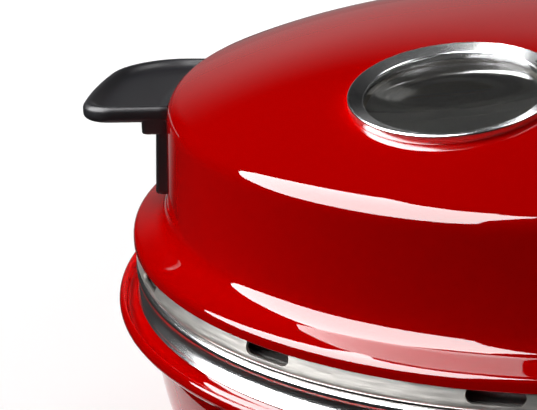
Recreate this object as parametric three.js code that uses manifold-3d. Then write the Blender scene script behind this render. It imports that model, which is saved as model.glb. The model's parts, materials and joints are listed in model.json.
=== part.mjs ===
// Electric pizza oven: a painted base with a stone over an element, and a domed lid hinged at the rear.
// Millimetres, +Z up. The front is -Y. The origin is on the table under the middle of the whole outline.
import * as THREE from 'three';
import { mergeVertices } from 'three/addons/utils/BufferGeometryUtils.js';
import Module from 'manifold-3d';

const wasm = await Module();
wasm.setup();

// Shared sizes
const gap = 0.3;            // between pieces that touch
const overrun = 5;          // how far a cutter runs past what it cuts
const longRun = 20;         // the same where it also passes what stands out beside it
const roundSides = 40;      // sides of the large turned pieces
const eyeSides = 28;        // sides of the window's pieces
const middleSides = 20;     // sides of the knobs, the hinge and the feet
const smallSides = 10;      // sides of small round pieces
const edgeZ = 118;          // lid's lower edge above the table
const degree = Math.PI / 180;

// Lid shell, heights from the lid's lower edge
const lid = {
  sheet: 1.4, edgeR: 170, edgeFace: 2.5, lipIn: 2, lipZ: 5.2, flangeWidth: 10, flangeInZ: 8.7, shelf: 14.4, wallFootZ: 15,
  draft: 0.9, wallTopZ: 48.1, shoulderR: 6.3, shoulderH: 9.35, crown: 25.5, crownPower: 2.57,
};
lid.lipR = lid.edgeR - lid.lipIn;
lid.flangeInR = lid.edgeR - lid.flangeWidth;
lid.wallFootR = lid.edgeR - lid.shelf;
lid.wallTopR = lid.wallFootR - lid.draft;
const crownShares = [0.9, 0.76, 0.56, 0.3, 0];
const domeR = lid.wallTopR - lid.shoulderR;
const shoulderTopZ = lid.wallTopZ + lid.shoulderH;

// Slotted steel band under the shell's edge, part of the lid
const band = {
  sheet: 1.2, inset: 0.7, lean: 1.3, topLean: 0.4, depth: 8.8, topZ: 3.4, footWidth: 5.4,
  slots: 12, firstSlot: 19.6 * degree, slotLength: 20.7, slotHeight: 5.6, slotZ: -2.6,
};
band.bottomR = lid.edgeR - band.inset;
band.bottomZ = -band.depth;
band.edgeR = band.bottomR - band.lean;
band.topR = band.edgeR - band.topLean;

// Polished rim under the band, seated on the bowl's ledge
const seam = 0.4;
const rim = {
  beadR: 2.1, beadIn: 2.8, neckIn: 0.7, neckDrop: 3.9, footOut: 2, wall: 6.7, stepIn: 3.6, stepDrop: 8.3, drop: 10.6,
};
rim.beadX = lid.edgeR - rim.beadIn;
rim.neckR = rim.beadX - rim.neckIn;
rim.footR = rim.beadX + rim.footOut;
rim.innerR = rim.beadX - rim.wall;
rim.stepR = rim.beadX - rim.stepIn;
const beadZ = edgeZ + band.bottomZ - seam - rim.beadR;
const ringFootZ = beadZ - rim.drop;

// Base bowl, heights above the table. The radii run inwards from the ledge's outer edge.
const bowl = {
  sheet: 1.5, bottomZ: 14, flangeOut: 7, neckIn: 12.5, highIn: 1.5, midIn: 4, lowIn: 9, cornerIn: 16.5, bottomIn: 26.5,
  rimWidth: 20, cornerZ: 22, lowZ: 40, midZ: 54, highZ: 72, flangeDrop: 8.6, ledgeIn: 14,
  flangeFace: 2.4, flangeRound: 2.4, flangeUnder: 6,
};
bowl.flangeR = lid.edgeR + bowl.flangeOut;
bowl.neckR = bowl.flangeR - bowl.neckIn;
bowl.highR = bowl.neckR - bowl.highIn;
bowl.midR = bowl.neckR - bowl.midIn;
bowl.lowR = bowl.neckR - bowl.lowIn;
bowl.cornerR = bowl.neckR - bowl.cornerIn;
bowl.bottomR = bowl.neckR - bowl.bottomIn;
bowl.bottomHoleR = bowl.bottomR - bowl.rimWidth;
bowl.ledgeInR = bowl.flangeR - bowl.ledgeIn;
bowl.flangeUnderR = bowl.flangeR - bowl.flangeUnder;
bowl.ledgeZ = ringFootZ - gap;
bowl.neckZ = bowl.ledgeZ - bowl.flangeDrop;

// Heat pan hanging in the rim
const pan = { sheet: 1.2, lipWidth: 5.6, play: 0.4, lean: 6.6, foot: 5, depth: 34.7, footRise: 5 };
pan.wallTopR = rim.stepR - pan.play - pan.lipWidth;
pan.wallFootR = pan.wallTopR - pan.lean;
pan.floorR = pan.wallFootR - pan.foot;
const panLipZ = beadZ - rim.stepDrop + gap;
pan.floorZ = panLipZ - pan.depth;
pan.wallFootZ = pan.floorZ + pan.footRise;

// Stone and what carries it
const stone = { play: 5.6, height: 12, chamfer: 1.5, rise: 28 };
stone.r = pan.wallTopR - stone.play;
stone.bottomZ = pan.floorZ + stone.rise;
const support = { count: 4, inset: 13, width: 16, depth: 8, footSheet: 1.5, first: 45 * degree };
support.r = stone.r - support.inset;

// Reflector inside the lid
const reflector = {
  sheet: 1.2, air: 6.5, lipPlay: 1.5, lipWidth: 4.4, flare: 2.8, footZ: 4, topZ: 38, round: 6.2, roundH: 11, crown: 14,
};
reflector.topR = lid.wallTopR - reflector.air;
reflector.domeR = reflector.topR - reflector.round;
reflector.domeZ = reflector.topZ + reflector.roundH;
reflector.footR = reflector.topR + reflector.flare;
reflector.lipR = band.bottomR - band.footWidth - reflector.lipPlay;
reflector.lipInR = reflector.lipR - reflector.lipWidth;
const reflectorShares = [0.85, 0.65, 0.42, 0.2, 0];

// Heating elements: a bent tube with two ends that leave through the sheet beside the hinge
const element = { tubeR: 3.25, sides: 6, bend: 9, halfGap: 9 * degree, play: 1.15, steps: 46 };
element.holeR = element.tubeR + element.play;
const lower = { inset: 44, rise: 12, drop: 29 };
lower.ringR = stone.r - lower.inset;
lower.z = pan.floorZ + lower.rise;
lower.endZ = lower.z - lower.drop;
const upper = { inset: 22.2, underDome: 11, rise: 22 };
upper.z = reflector.domeZ - upper.underDome;
upper.ringR = reflector.topR - upper.inset;
upper.endZ = upper.z + upper.rise;
const clip = { wall: 1.4, length: 5, stemWidth: 4, count: 3, clearance: 0.55, short: 1.2 };

// Round window near the front of the dome
const eye = {
  offset: 83.8, outerR: 39.1, edgeRound: 0.6, slope: 5.8, topDrop: 1.7, height: 1, step: 0.1, throatDrop: 4, collarIn: 2.7,
  collarWall: 1.5, collarDrop: 7, skirtDrop: 4, glass: 2.7, gasket: 1, gasketWidth: 2.6, nutOut: 2.4, nutHeight: 2,
  funnelSheet: 1.1, funnelPlay: 0.9,
};
eye.topIn = eye.outerR - eye.slope;
eye.throatR = eye.topIn - eye.step;
eye.collarR = eye.outerR - eye.collarIn;
eye.nutR = eye.outerR + eye.nutOut;
eye.funnelR = eye.collarR - gap - eye.step;
eye.funnelHoleR = eye.funnelR + eye.funnelPlay;
eye.funnelDrop = domeZ(eye.offset) - reflectorZ(eye.offset);

// Side grips, each one moulding with a tray-like plate on a leg along the wall
const grip = {
  angle: 72.3 * degree, halfWidth: 14 * degree, rearTaper: 4.7 * degree, reach: 34.8, topRise: 2.4, plateHeight: 6.6,
  corner: 12, rearCorner: 22, legWall: 4.6, legIn: 0.3 * degree, blockIn: 0.15 * degree, footRise: 3.3,
  blockReach: 5.2, blockDrop: 4.4, trayRim: 5, trayDepth: 2, trayIn: 4.8,
  screwR: 2, screwHeadR: 4, screwHead: 2.4, screwLength: 8, screwDrop: 9, screwShare: 0.5,
};
grip.tipR = lid.wallFootR + grip.reach;
grip.plateTop = lid.wallTopZ + grip.topRise;
grip.legBottom = lid.flangeInZ + grip.footRise;
grip.blockR = lid.wallFootR + grip.legWall + grip.blockReach;
grip.trayInR = lid.wallTopR + grip.trayIn;
grip.screwZ = grip.plateTop - grip.screwDrop;

// Hinge at the rear
const hinge = {
  out: 12, drop: 6, pinR: 3, play: 0.3, knuckleHalf: 25.5, sidePlay: 0.5, earWidth: 6, earR: 8, knuckleR: 7.5, pinOver: 1,
  armDrop: 9.3, armHeight: 12.5, plateHeight: 40.5, plateStand: 7.5, leafCrestShare: 0.86,
  leafTop: 38, leafStand: 5.9, leafHalf: 25, leafDeep: 4.7, shelfOut: 2.5, leafShelfZ: 20, bendIn: 12, leafBendZ: 14.5,
  underIn: 16.5, leafUnderZ: 5, neckIn: 9.5, leafNeckZ: -1.5,
  screwR: 2, headR: 4, head: 2.2, length: 8.5, baseScrewX: 18, baseScrewDrop: 26.5, lidScrewX: 14, lidScrewDrop: 9,
};
hinge.y = bowl.flangeR + hinge.out;
hinge.z = -hinge.drop;
hinge.boreR = hinge.pinR + hinge.play;
hinge.earInner = hinge.knuckleHalf + hinge.sidePlay;
hinge.earOuter = hinge.earInner + hinge.earWidth;
hinge.pinHalf = hinge.earOuter + hinge.pinOver;
hinge.armTop = bowl.ledgeZ - hinge.armDrop;
hinge.armBottom = hinge.armTop - hinge.armHeight;
hinge.plateBottom = hinge.armTop - hinge.plateHeight;
hinge.plateOut = bowl.neckR + hinge.plateStand;
hinge.plateHalf = hinge.earOuter;
hinge.earInY = hinge.y - hinge.earR;
hinge.leafOut = lid.wallFootR + hinge.leafStand;
hinge.leafInY = lid.wallTopR - hinge.leafDeep;
hinge.leafShelfY = hinge.leafOut + hinge.shelfOut;
hinge.leafBendY = hinge.y - hinge.bendIn;
hinge.leafUnderY = hinge.y - hinge.underIn;
hinge.leafNeckY = hinge.y - hinge.neckIn;
hinge.baseScrewZ = hinge.armTop - hinge.baseScrewDrop;
hinge.lidScrewZ = hinge.leafTop - hinge.lidScrewDrop;
const hingeZ = edgeZ + hinge.z;

// Control pod at the front of the base
const pod = {
  halfWidth: 74, bottomZ: 24, topZ: 76, corner: 13, over: 1, wall: 2.6, openHalf: 56, openBottom: 32, openTop: 60,
};
pod.frontY = -(bowl.flangeR + pod.over);
pod.backY = -Math.sqrt(bowl.bottomR ** 2 - pod.halfWidth ** 2);
const knob = {
  x: 34, z: 50, skirtR: 16, skirt: 3, step: 1.2, bodyIn: 2.2, height: 19, topIn: 3.4, standOff: 0.8, barHalf: 2.2, barRise: 2.5, boreDepth: 12,
};
knob.bodyR = knob.skirtR - knob.bodyIn;
knob.topR = knob.skirtR - knob.topIn;
const shaft = { r: 3, clearance: 0.3, intoBody: 6 };
const control = { halfWidth: 17, halfHeight: 11, depth: 15, noseWall: 1.7 };
control.noseR = shaft.r + shaft.clearance + control.noseWall;
const lamp = { x: 7, z: 62, r: 3.2, lip: 0.8, dome: 1.6, length: 10 };
lamp.domeR = lamp.r + lamp.lip;

// Underside
const foot = { r: 12, topR: 13.5, inset: 14, recessR: 6, recess: 5, boreR: 2.4, first: 45 * degree };
foot.circleR = bowl.bottomHoleR - foot.inset;
const cover = { lap: 8, sheet: 1.5, ventCount: 12, ventIn: 42, ventLength: 34, ventWidth: 4 };
cover.r = bowl.bottomHoleR + cover.lap;
cover.ventR = foot.circleR - cover.ventIn;
const footScrew = { r: 2, headR: 4.2, head: 2.6, length: 14 };
const gland = { x: 70, z: 38, flangeR: 10, neckR: 7, boreR: 3.9, stand: 3.5, deep: 31, reach: 9, play: 0.4 };
gland.outY = bowl.lowR + gland.stand;
gland.inY = gland.outY - gland.deep;
gland.holeR = gland.neckR + gland.play;
const block = { halfX: 22, halfY: 9, height: 17, inset: 34, pegR: 2.6, peg: 4, pegX: 13 };
block.y = bowl.bottomHoleR - block.inset;

// How far the knobs and the hinge reach, which centres the whole outline on the origin
const knobFront = -pod.frontY + knob.standOff + knob.height + knob.barRise;
const hingeBack = hinge.y + hinge.earR;
const axisY = (knobFront - hingeBack) / 2;

// Shapes
const point = (r, z) => new THREE.Vector2(r, z);

function clean(geometry) {
  const bare = geometry.clone();
  bare.deleteAttribute('normal');
  bare.deleteAttribute('uv');
  const merged = mergeVertices(bare, 1e-4);
  const kept = [];
  const index = merged.index.array;
  for (let i = 0; i < index.length; i += 3) {
    const [a, b, c] = [index[i], index[i + 1], index[i + 2]];
    if (a !== b && b !== c && c !== a) kept.push(a, b, c);
  }
  merged.setIndex(kept);
  return merged;
}

function volumeOf(geometry) {
  const place = geometry.attributes.position;
  const corner = [0, 1, 2].map(() => new THREE.Vector3());
  let sum = 0;
  for (let i = 0; i < geometry.index.count; i += 3) {
    corner.forEach((v, k) => v.fromBufferAttribute(place, geometry.index.array[i + k]));
    sum += corner[0].dot(corner[1].clone().cross(corner[2]));
  }
  return sum / 6;
}

function solid(geometry) {
  const mesh = clean(geometry);
  const index = Uint32Array.from(mesh.index.array);
  if (volumeOf(mesh) < 0) {
    for (let i = 0; i < index.length; i += 3) [index[i], index[i + 1]] = [index[i + 1], index[i]];
  }
  const vertProperties = Float32Array.from(mesh.attributes.position.array);
  return new wasm.Manifold(new wasm.Mesh({ numProp: 3, vertProperties, triVerts: index }));
}

function geometryOf(body) {
  const mesh = body.getMesh();
  const geometry = new THREE.BufferGeometry();
  geometry.setAttribute('position', new THREE.BufferAttribute(Float32Array.from(mesh.vertProperties), 3));
  geometry.setIndex(Array.from(mesh.triVerts));
  return geometry;
}

const moved = (body, x, y, z) => body.translate([x, y, z]);
const turned = (body, angle) => body.rotate([0, 0, angle / degree]);
const joined = (...bodies) => bodies.reduce((whole, body) => whole.add(body));
const cut = (body, ...tools) => tools.reduce((left, tool) => left.subtract(tool), body);

// A turned solid about Z. The outline starts and ends on the axis, or closes on itself.
function turnedSolid(outline, sides = roundSides) {
  return solid(new THREE.LatheGeometry(outline, sides).rotateX(Math.PI / 2));
}

function rod(r, from, to, sides = smallSides) {
  return turnedSolid([point(0, from), point(r, from), point(r, to), point(0, to)], sides);
}

function pipe(inner, outer, from, to, sides = smallSides) {
  const corners = [point(inner, from), point(outer, from), point(outer, to), point(inner, to), point(inner, from)];
  return turnedSolid(corners, sides);
}

function box(x0, x1, y0, y1, z0, z1) {
  const shape = new THREE.BoxGeometry(x1 - x0, y1 - y0, z1 - z0);
  return solid(shape.translate((x0 + x1) / 2, (y0 + y1) / 2, (z0 + z1) / 2));
}

// A prism over an outline in XY, from one height to another.
function prism(shape, from, to, curveSegments = 4) {
  const made = new THREE.ExtrudeGeometry(shape, { depth: to - from, bevelEnabled: false, curveSegments });
  return solid(made.translate(0, 0, from));
}

// Turns a solid that stands along Z so that it lies along Y, its top towards -Y.
const alongFront = (body) => body.rotate([90, 0, 0]);
const alongX = (body) => body.rotate([0, 90, 0]);

// The line beside a path, at a distance to its left, with mitred corners.
function beside(path, distance) {
  return path.map((p, i) => {
    const before = i > 0 ? p.clone().sub(path[i - 1]).normalize() : null;
    const after = i < path.length - 1 ? path[i + 1].clone().sub(p).normalize() : null;
    const along = (before ?? after).clone().add(after ?? before).normalize();
    const left = point(-along.y, along.x);
    const edge = before ?? after;
    const stretch = 1 / Math.max(0.5, left.dot(point(-edge.y, edge.x)));
    const q = p.clone().addScaledVector(left, distance * stretch);
    return p.x === 0 ? point(0, p.y + distance) : point(q.x, q.y);
  });
}

// Sheet metal along a path, its thickness on the path's left.
function sheetSolid(path, thickness, sides = roundSides) {
  const other = beside(path, thickness).reverse();
  const closes = path[path.length - 1].x === 0 ? [] : [path[0].clone()];
  if (closes.length === 0) {
    return turnedSolid([...other, ...path], sides);
  }
  return turnedSolid([...path, ...other, ...closes], sides);
}

function curvePoints(start, control, end, count) {
  return new THREE.QuadraticBezierCurve(start, control, end).getPoints(count);
}

const arcPoints = (x, z, rx, rz, from, to, count) =>
  Array.from({ length: count + 1 }, (_, i) => {
    const angle = from + ((to - from) * i) / count;
    return point(x + rx * Math.cos(angle), z + rz * Math.sin(angle));
  });

// Lid surface
function domeZ(r) {
  return shoulderTopZ + lid.crown * (1 - (r / domeR) ** lid.crownPower);
}

function domeSlope(r) {
  return (lid.crown * lid.crownPower * (r / domeR) ** (lid.crownPower - 1)) / domeR;
}

function lidPath() {
  const lip = curvePoints(point(lid.edgeR, lid.edgeFace), point(lid.edgeR, lid.lipZ), point(lid.lipR, lid.lipZ), 2);
  const fillet = curvePoints(
    point(lid.flangeInR, lid.flangeInZ), point(lid.wallFootR, (lid.flangeInZ + lid.lipZ) / 2 + lid.sheet * 2),
    point(lid.wallFootR, lid.wallFootZ), 3);
  const shoulder = arcPoints(domeR, lid.wallTopZ, lid.shoulderR, lid.shoulderH, 0, Math.PI / 2, 4);
  const crown = crownShares.map((share) => point(domeR * share, domeZ(domeR * share)));
  return [point(lid.edgeR, 0), ...lip, ...fillet, ...shoulder, ...crown];
}

// The lid's outer form as one filled solid, grown by the clearance, which trims what sits on it.
function lidForm(extra) {
  const path = beside(lidPath(), -extra);
  const floor = -overrun;
  return turnedSolid([point(0, floor), point(lid.edgeR + extra, floor), ...path.slice(0, -1), point(0, domeZ(0) + extra)]);
}

// The window's own frame: its middle on the dome, its axis along the dome's normal there.
const eyeTilt = Math.atan(domeSlope(eye.offset));
const atEye = (body) => moved(body.rotate([eyeTilt / degree, 0, 0]), 0, -eye.offset, domeZ(eye.offset));

function gripScrewPlaces() {
  return [-1, 1].map((side) => side * grip.halfWidth * grip.screwShare);
}

// A rod along a radius of the oven, at an angle from the front towards +X.
function radialRod(r, from, to, angle, z) {
  const lying = moved(alongFront(rod(r, from, to)), 0, 0, z);
  return turned(lying, angle);
}

const gripSides = [-1, 1];

function lidShell() {
  const tools = [atEye(rod(eye.collarR + gap, -eye.collarDrop - overrun, overrun, eyeSides))];
  for (const side of gripSides) {
    for (const place of gripScrewPlaces()) {
      const angle = side * grip.angle + place;
      tools.push(radialRod(grip.screwR + gap, lid.wallTopR - overrun, lid.wallFootR + overrun, angle, grip.screwZ));
    }
  }
  for (const side of gripSides) {
    const hole = alongFront(rod(hinge.screwR + gap, -lid.wallFootR - overrun, -lid.wallTopR + overrun));
    tools.push(moved(hole, side * hinge.lidScrewX, 0, hinge.lidScrewZ));
  }
  return cut(sheetSolid(lidPath(), lid.sheet), ...tools);
}

function slottedBand() {
  const path = [
    point(band.bottomR - band.footWidth, band.bottomZ), point(band.bottomR, band.bottomZ), point(band.edgeR, 0),
    point(band.topR, band.topZ),
  ];
  const slotShape = new THREE.Shape();
  const half = (band.slotLength - band.slotHeight) / 2;
  slotShape.absarc(half, 0, band.slotHeight / 2, -Math.PI / 2, Math.PI / 2, false);
  slotShape.absarc(-half, 0, band.slotHeight / 2, Math.PI / 2, Math.PI * 1.5, false);
  const slot = alongFront(prism(slotShape, band.topR - overrun, band.bottomR + overrun, 5));
  const tools = Array.from({ length: band.slots }, (_, i) =>
    turned(moved(slot, 0, 0, band.slotZ), band.firstSlot + (i * 2 * Math.PI) / band.slots));
  return cut(sheetSolid(path, band.sheet), ...tools);
}

function reflectorPath() {
  const lipZ = band.bottomZ + band.sheet + gap;
  const dome = reflectorShares.map((share) =>
    point(reflector.domeR * share, reflector.domeZ + reflector.crown * (1 - share * share)));
  return [
    point(reflector.lipR, lipZ), point(reflector.lipInR, lipZ), point(reflector.footR, reflector.footZ),
    point(reflector.topR, reflector.topZ), ...curvePoints(
      point(reflector.topR, reflector.topZ), point(reflector.topR, reflector.domeZ),
      point(reflector.domeR, reflector.domeZ), 3).slice(1), ...dome,
  ];
}

function reflectorZ(r) {
  return reflector.domeZ + reflector.crown * (1 - (r / reflector.domeR) ** 2);
}

function elementEnds(ring) {
  return [1, -1].map((side) => {
    const angle = Math.PI / 2 + side * element.halfGap;
    return [ring.ringR * Math.cos(angle), ring.ringR * Math.sin(angle)];
  });
}

function lidReflector() {
  const holes = elementEnds(upper).map(([x, y]) =>
    moved(rod(element.holeR, reflector.topZ, edgeZ), x, y, 0));
  const clipHoles = clipAngles().map((angle) =>
    turned(moved(rod(clip.stemWidth / 2 + gap, reflector.topZ, edgeZ), 0, -upper.ringR, 0), angle));
  const view = atEye(rod(eye.funnelHoleR, -eye.funnelDrop - overrun * 2, overrun, eyeSides));
  return cut(sheetSolid(reflectorPath(), reflector.sheet), view, ...holes, ...clipHoles);
}

// A ring of tube whose two ends turn towards endZ beside the rear.
function heatingElement(ring) {
  const way = Math.sign(ring.endZ - ring.z);
  const start = Math.PI / 2 + element.halfGap;
  const sweep = 2 * Math.PI - 2 * element.halfGap;
  const bendAngle = element.bend / ring.ringR;
  const places = [];
  const at = (angle, z) => new THREE.Vector3(ring.ringR * Math.cos(angle), ring.ringR * Math.sin(angle), z);
  const bendSteps = 4;
  const bendPart = (from, turn) => Array.from({ length: bendSteps + 1 }, (_, i) => {
    const t = (i / bendSteps) * (Math.PI / 2);
    return at(from + turn * bendAngle * (1 - Math.cos(t)), ring.z + way * element.bend * (1 - Math.sin(t)));
  });
  places.push(at(start, ring.endZ));
  places.push(at(start, (ring.endZ + ring.z + way * element.bend) / 2));
  places.push(...bendPart(start, 1));
  const arcSteps = 30;
  for (let i = 1; i < arcSteps; i += 1) {
    places.push(at(start + bendAngle + ((sweep - 2 * bendAngle) * i) / arcSteps, ring.z));
  }
  places.push(...bendPart(start + sweep, -1).reverse());
  places.push(at(start + sweep, (ring.endZ + ring.z + way * element.bend) / 2));
  places.push(at(start + sweep, ring.endZ));
  return tube(places, element.tubeR, element.sides, element.steps);
}

function tube(places, r, sides, steps) {
  const section = new THREE.Shape(Array.from({ length: sides }, (_, i) =>
    point(r * Math.cos((i * 2 * Math.PI) / sides), r * Math.sin((i * 2 * Math.PI) / sides))));
  const path = new THREE.CatmullRomCurve3(places, false, 'centripetal');
  return solid(new THREE.ExtrudeGeometry(section, { steps, extrudePath: path, bevelEnabled: false }));
}

function clipAngles() {
  return Array.from({ length: clip.count }, (_, i) => (i * 2 * Math.PI) / clip.count);
}

// A ring round the element's tube on a stem that reaches its sheet.
function elementClip(ring, reach) {
  const inner = element.tubeR + clip.clearance;
  const eyeRing = moved(alongX(pipe(inner, inner + clip.wall, -clip.length / 2, clip.length / 2)), 0, -ring.ringR, ring.z);
  const near = ring.z + Math.sign(reach - ring.z) * (inner + clip.wall / 2);
  const stem = moved(rod(clip.stemWidth / 2, Math.min(near, reach), Math.max(near, reach)), 0, -ring.ringR, 0);
  const bore = moved(alongX(rod(inner, -clip.length, clip.length)), 0, -ring.ringR, ring.z);
  return cut(joined(eyeRing, stem), bore);
}

// Window
function windowRing() {
  const outline = [
    point(eye.collarR - eye.collarWall, -eye.collarDrop), point(eye.collarR, -eye.collarDrop), point(eye.collarR, -eye.skirtDrop),
    point(eye.outerR, -eye.skirtDrop), point(eye.outerR, eye.height - eye.edgeRound),
    point(eye.outerR - eye.edgeRound, eye.height), point(eye.topIn, eye.height - eye.topDrop),
    point(eye.throatR, eye.height - eye.topDrop - eye.edgeRound), point(eye.throatR, eye.height - eye.throatDrop),
    point(eye.collarR - eye.collarWall, eye.height - eye.throatDrop), point(eye.collarR - eye.collarWall, -eye.collarDrop),
  ];
  const whole = atEye(turnedSolid(outline, eyeSides));
  const column = atEye(rod(eye.collarR - gap / 2, -eye.collarDrop - overrun, overrun, eyeSides));
  const skin = cut(lidForm(gap), column);
  return cut(whole, skin);
}

function windowParts() {
  const inner = eye.collarR - eye.collarWall - gap;
  const glassTop = eye.height - eye.throatDrop - gap;
  const glassLow = glassTop - eye.glass;
  const gasketLow = glassLow - gap - eye.gasket;
  const nutTop = Math.min(gasketLow, -eye.collarDrop) - gap;
  const nutLow = nutTop - eye.nutHeight;
  const funnelTop = nutLow - gap;
  return {
    glass: atEye(rod(inner, glassLow, glassTop, eyeSides)),
    gasket: atEye(pipe(inner - eye.gasketWidth, inner, gasketLow, glassLow - gap, eyeSides)),
    nut: atEye(pipe(inner - eye.gasketWidth, eye.nutR, nutLow, nutTop, eyeSides)),
    funnel: atEye(pipe(eye.funnelR - eye.funnelSheet, eye.funnelR, -eye.funnelDrop, funnelTop, eyeSides)),
  };
}

// Grips
// Seen from above: its rear side may lean towards the middle by a taper, and its outer corners are rounded.
function sectorShape(inner, outer, half, corner, rearCorner = corner, taper = 0) {
  const shape = new THREE.Shape();
  const at = (r, angle) => [r * Math.sin(angle), -r * Math.cos(angle)];
  const rearAt = (r) => half - taper * ((r - inner) / (outer - inner));
  const steps = 6;
  const from = -rearAt(outer) + rearCorner / outer;
  const to = half - corner / outer;
  shape.moveTo(...at(inner, -half));
  shape.lineTo(...at(outer - rearCorner, -rearAt(outer - rearCorner)));
  shape.quadraticCurveTo(...at(outer, -rearAt(outer)), ...at(outer, from));
  for (let i = 1; i <= steps; i += 1) {
    shape.lineTo(...at(outer, from + ((to - from) * i) / steps));
  }
  shape.quadraticCurveTo(...at(outer, half), ...at(outer - corner, half));
  shape.lineTo(...at(inner, half));
  for (let i = 1; i < steps; i += 1) {
    shape.lineTo(...at(inner, half - (2 * half * i) / steps));
  }
  return shape;
}

function sideGrip(side) {
  const inner = domeR;
  const small = grip.trayDepth;
  const plateLow = grip.plateTop - grip.plateHeight;
  const plateShape = sectorShape(inner, grip.tipR, grip.halfWidth, grip.corner, grip.rearCorner, grip.rearTaper);
  const plate = prism(plateShape, plateLow, grip.plateTop);
  const legR = lid.wallFootR + grip.legWall;
  const leg = prism(sectorShape(inner, legR, grip.halfWidth - grip.legIn, small), grip.legBottom, plateLow + gap);
  const blockShape = sectorShape(inner, grip.blockR, grip.halfWidth - grip.blockIn, small);
  const shoulder = prism(blockShape, plateLow - grip.blockDrop, plateLow + gap);
  const trayHalf = grip.halfWidth - grip.trayRim / grip.tipR;
  const trayCorners = [grip.corner, grip.rearCorner].map((r) => r - grip.trayRim / 2);
  const trayShape = sectorShape(grip.trayInR, grip.tipR - grip.trayRim, trayHalf, ...trayCorners, grip.rearTaper);
  const tray = prism(trayShape, grip.plateTop - grip.trayDepth, grip.plateTop + overrun);
  const tools = gripScrewPlaces().map((place) =>
    radialRod(grip.screwR + gap, domeR, lid.wallFootR + grip.screwLength, place, grip.screwZ));
  const whole = cut(joined(plate, leg, shoulder), tray, ...tools);
  const handed = side < 0 ? whole : whole.mirror([1, 0, 0]);
  return cut(turned(handed, side * grip.angle), lidForm(gap));
}

function gripScrew(angle) {
  const inside = lid.wallTopR - lid.sheet - gap;
  const head = radialRod(grip.screwHeadR, inside - grip.screwHead, inside - gap, 0, grip.screwZ);
  const shank = radialRod(grip.screwR, inside - grip.screwHead / 2, inside + grip.screwLength, 0, grip.screwZ);
  return turned(joined(head, shank), angle);
}

// Base bowl
function bowlPath() {
  return [
    point(bowl.bottomHoleR, bowl.bottomZ), point(bowl.bottomR, bowl.bottomZ),
    ...curvePoints(
      point(bowl.bottomR, bowl.bottomZ), point(bowl.cornerR, bowl.bottomZ), point(bowl.lowR, bowl.lowZ), 5).slice(1),
    point(bowl.midR, bowl.midZ), point(bowl.highR, bowl.highZ), point(bowl.neckR, bowl.neckZ),
  ];
}

function flangePath() {
  const top = bowl.ledgeZ;
  const round = bowl.flangeRound;
  const low = top - bowl.flangeFace - 2 * round;
  return [
    point(bowl.flangeUnderR, bowl.neckZ + bowl.sheet),
    ...arcPoints(bowl.flangeR - round, low + round, round, round, -Math.PI / 2, 0, 3),
    ...arcPoints(bowl.flangeR - round, top - round, round, round, 0, Math.PI / 2, 3),
    point(bowl.ledgeInR, top),
  ];
}

function baseBowl() {
  const inside = beside(bowlPath(), bowl.sheet).reverse();
  const outline = [...bowlPath(), ...flangePath(), ...inside, bowlPath()[0]];
  const opening = box(-pod.openHalf, pod.openHalf, pod.frontY, pod.backY, pod.openBottom, pod.openTop);
  const cordHole = moved(alongFront(rod(gland.holeR, -gland.outY - longRun, -gland.inY)), gland.x, 0, gland.z);
  const screwHoles = gripSides.map((side) =>
    moved(alongFront(rod(hinge.screwR + gap, -bowl.neckR, -bowl.lowR + overrun * 2)), side * hinge.baseScrewX, 0, hinge.baseScrewZ));
  return cut(turnedSolid(outline), opening, cordHole, ...screwHoles);
}

// The bowl's outer form as one filled solid, grown by the clearance.
function bowlForm(extra) {
  const path = beside(bowlPath(), -extra).filter((p) => p.x > bowl.bottomHoleR);
  const under = flangePath().map((p) => point(p.x + extra, p.y - extra));
  return turnedSolid([point(0, bowl.bottomZ), point(bowl.bottomHoleR, bowl.bottomZ - extra), ...path, ...under, point(0, bowl.ledgeZ)]);
}

function rimRing() {
  const low = ringFootZ;
  const stepZ = beadZ - rim.stepDrop;
  const flare = curvePoints(point(rim.footR, low), point(rim.neckR, low + gap * 2), point(rim.neckR, beadZ - rim.neckDrop), 3);
  const bead = arcPoints(rim.beadX, beadZ, rim.beadR, rim.beadR, -Math.PI / 3, Math.PI, 5);
  return turnedSolid([
    point(rim.innerR, low), ...flare, ...bead, point(rim.stepR, beadZ - rim.beadR), point(rim.stepR, stepZ),
    point(rim.innerR, stepZ), point(rim.innerR, low),
  ]);
}

function heatPan() {
  const path = [
    point(0, pan.floorZ), point(pan.floorR, pan.floorZ), point(pan.wallFootR, pan.wallFootZ), point(pan.wallTopR, panLipZ),
    point(pan.wallTopR + pan.lipWidth, panLipZ),
  ];
  const other = beside(path, pan.sheet).reverse();
  const dish = turnedSolid([...path, ...other]);
  const holes = elementEnds(lower).map(([x, y]) =>
    moved(rod(element.holeR, lower.endZ, lower.z), x, y, 0));
  return cut(dish, ...holes);
}

function stoneSupport() {
  const low = pan.floorZ + pan.sheet + gap;
  const top = stone.bottomZ - gap;
  const y = -support.r;
  const upright = box(-support.width / 2, support.width / 2, y - support.footSheet, y, low, top);
  const tread = box(-support.width / 2, support.width / 2, y - support.footSheet, y + support.depth, low, low + support.footSheet);
  const seat = box(-support.width / 2, support.width / 2, y - support.footSheet, y + support.depth, top - support.footSheet, top);
  return joined(upright, tread, seat);
}

function pizzaStone() {
  const top = stone.bottomZ + stone.height;
  const c = stone.chamfer;
  return turnedSolid([
    point(0, stone.bottomZ), point(stone.r - c, stone.bottomZ), point(stone.r, stone.bottomZ + c), point(stone.r, top - c),
    point(stone.r - c, top), point(0, top),
  ]);
}

// Control pod
function podShape(inset) {
  const shape = new THREE.Shape();
  const x = pod.halfWidth - inset;
  const low = pod.bottomZ + inset;
  const high = pod.topZ - inset;
  const c = pod.corner - inset;
  shape.absarc(x - c, low + c, c, -Math.PI / 2, 0, false);
  shape.absarc(x - c, high - c, c, 0, Math.PI / 2, false);
  shape.absarc(-x + c, high - c, c, Math.PI / 2, Math.PI, false);
  shape.absarc(-x + c, low + c, c, Math.PI, Math.PI * 1.5, false);
  return shape;
}

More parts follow.
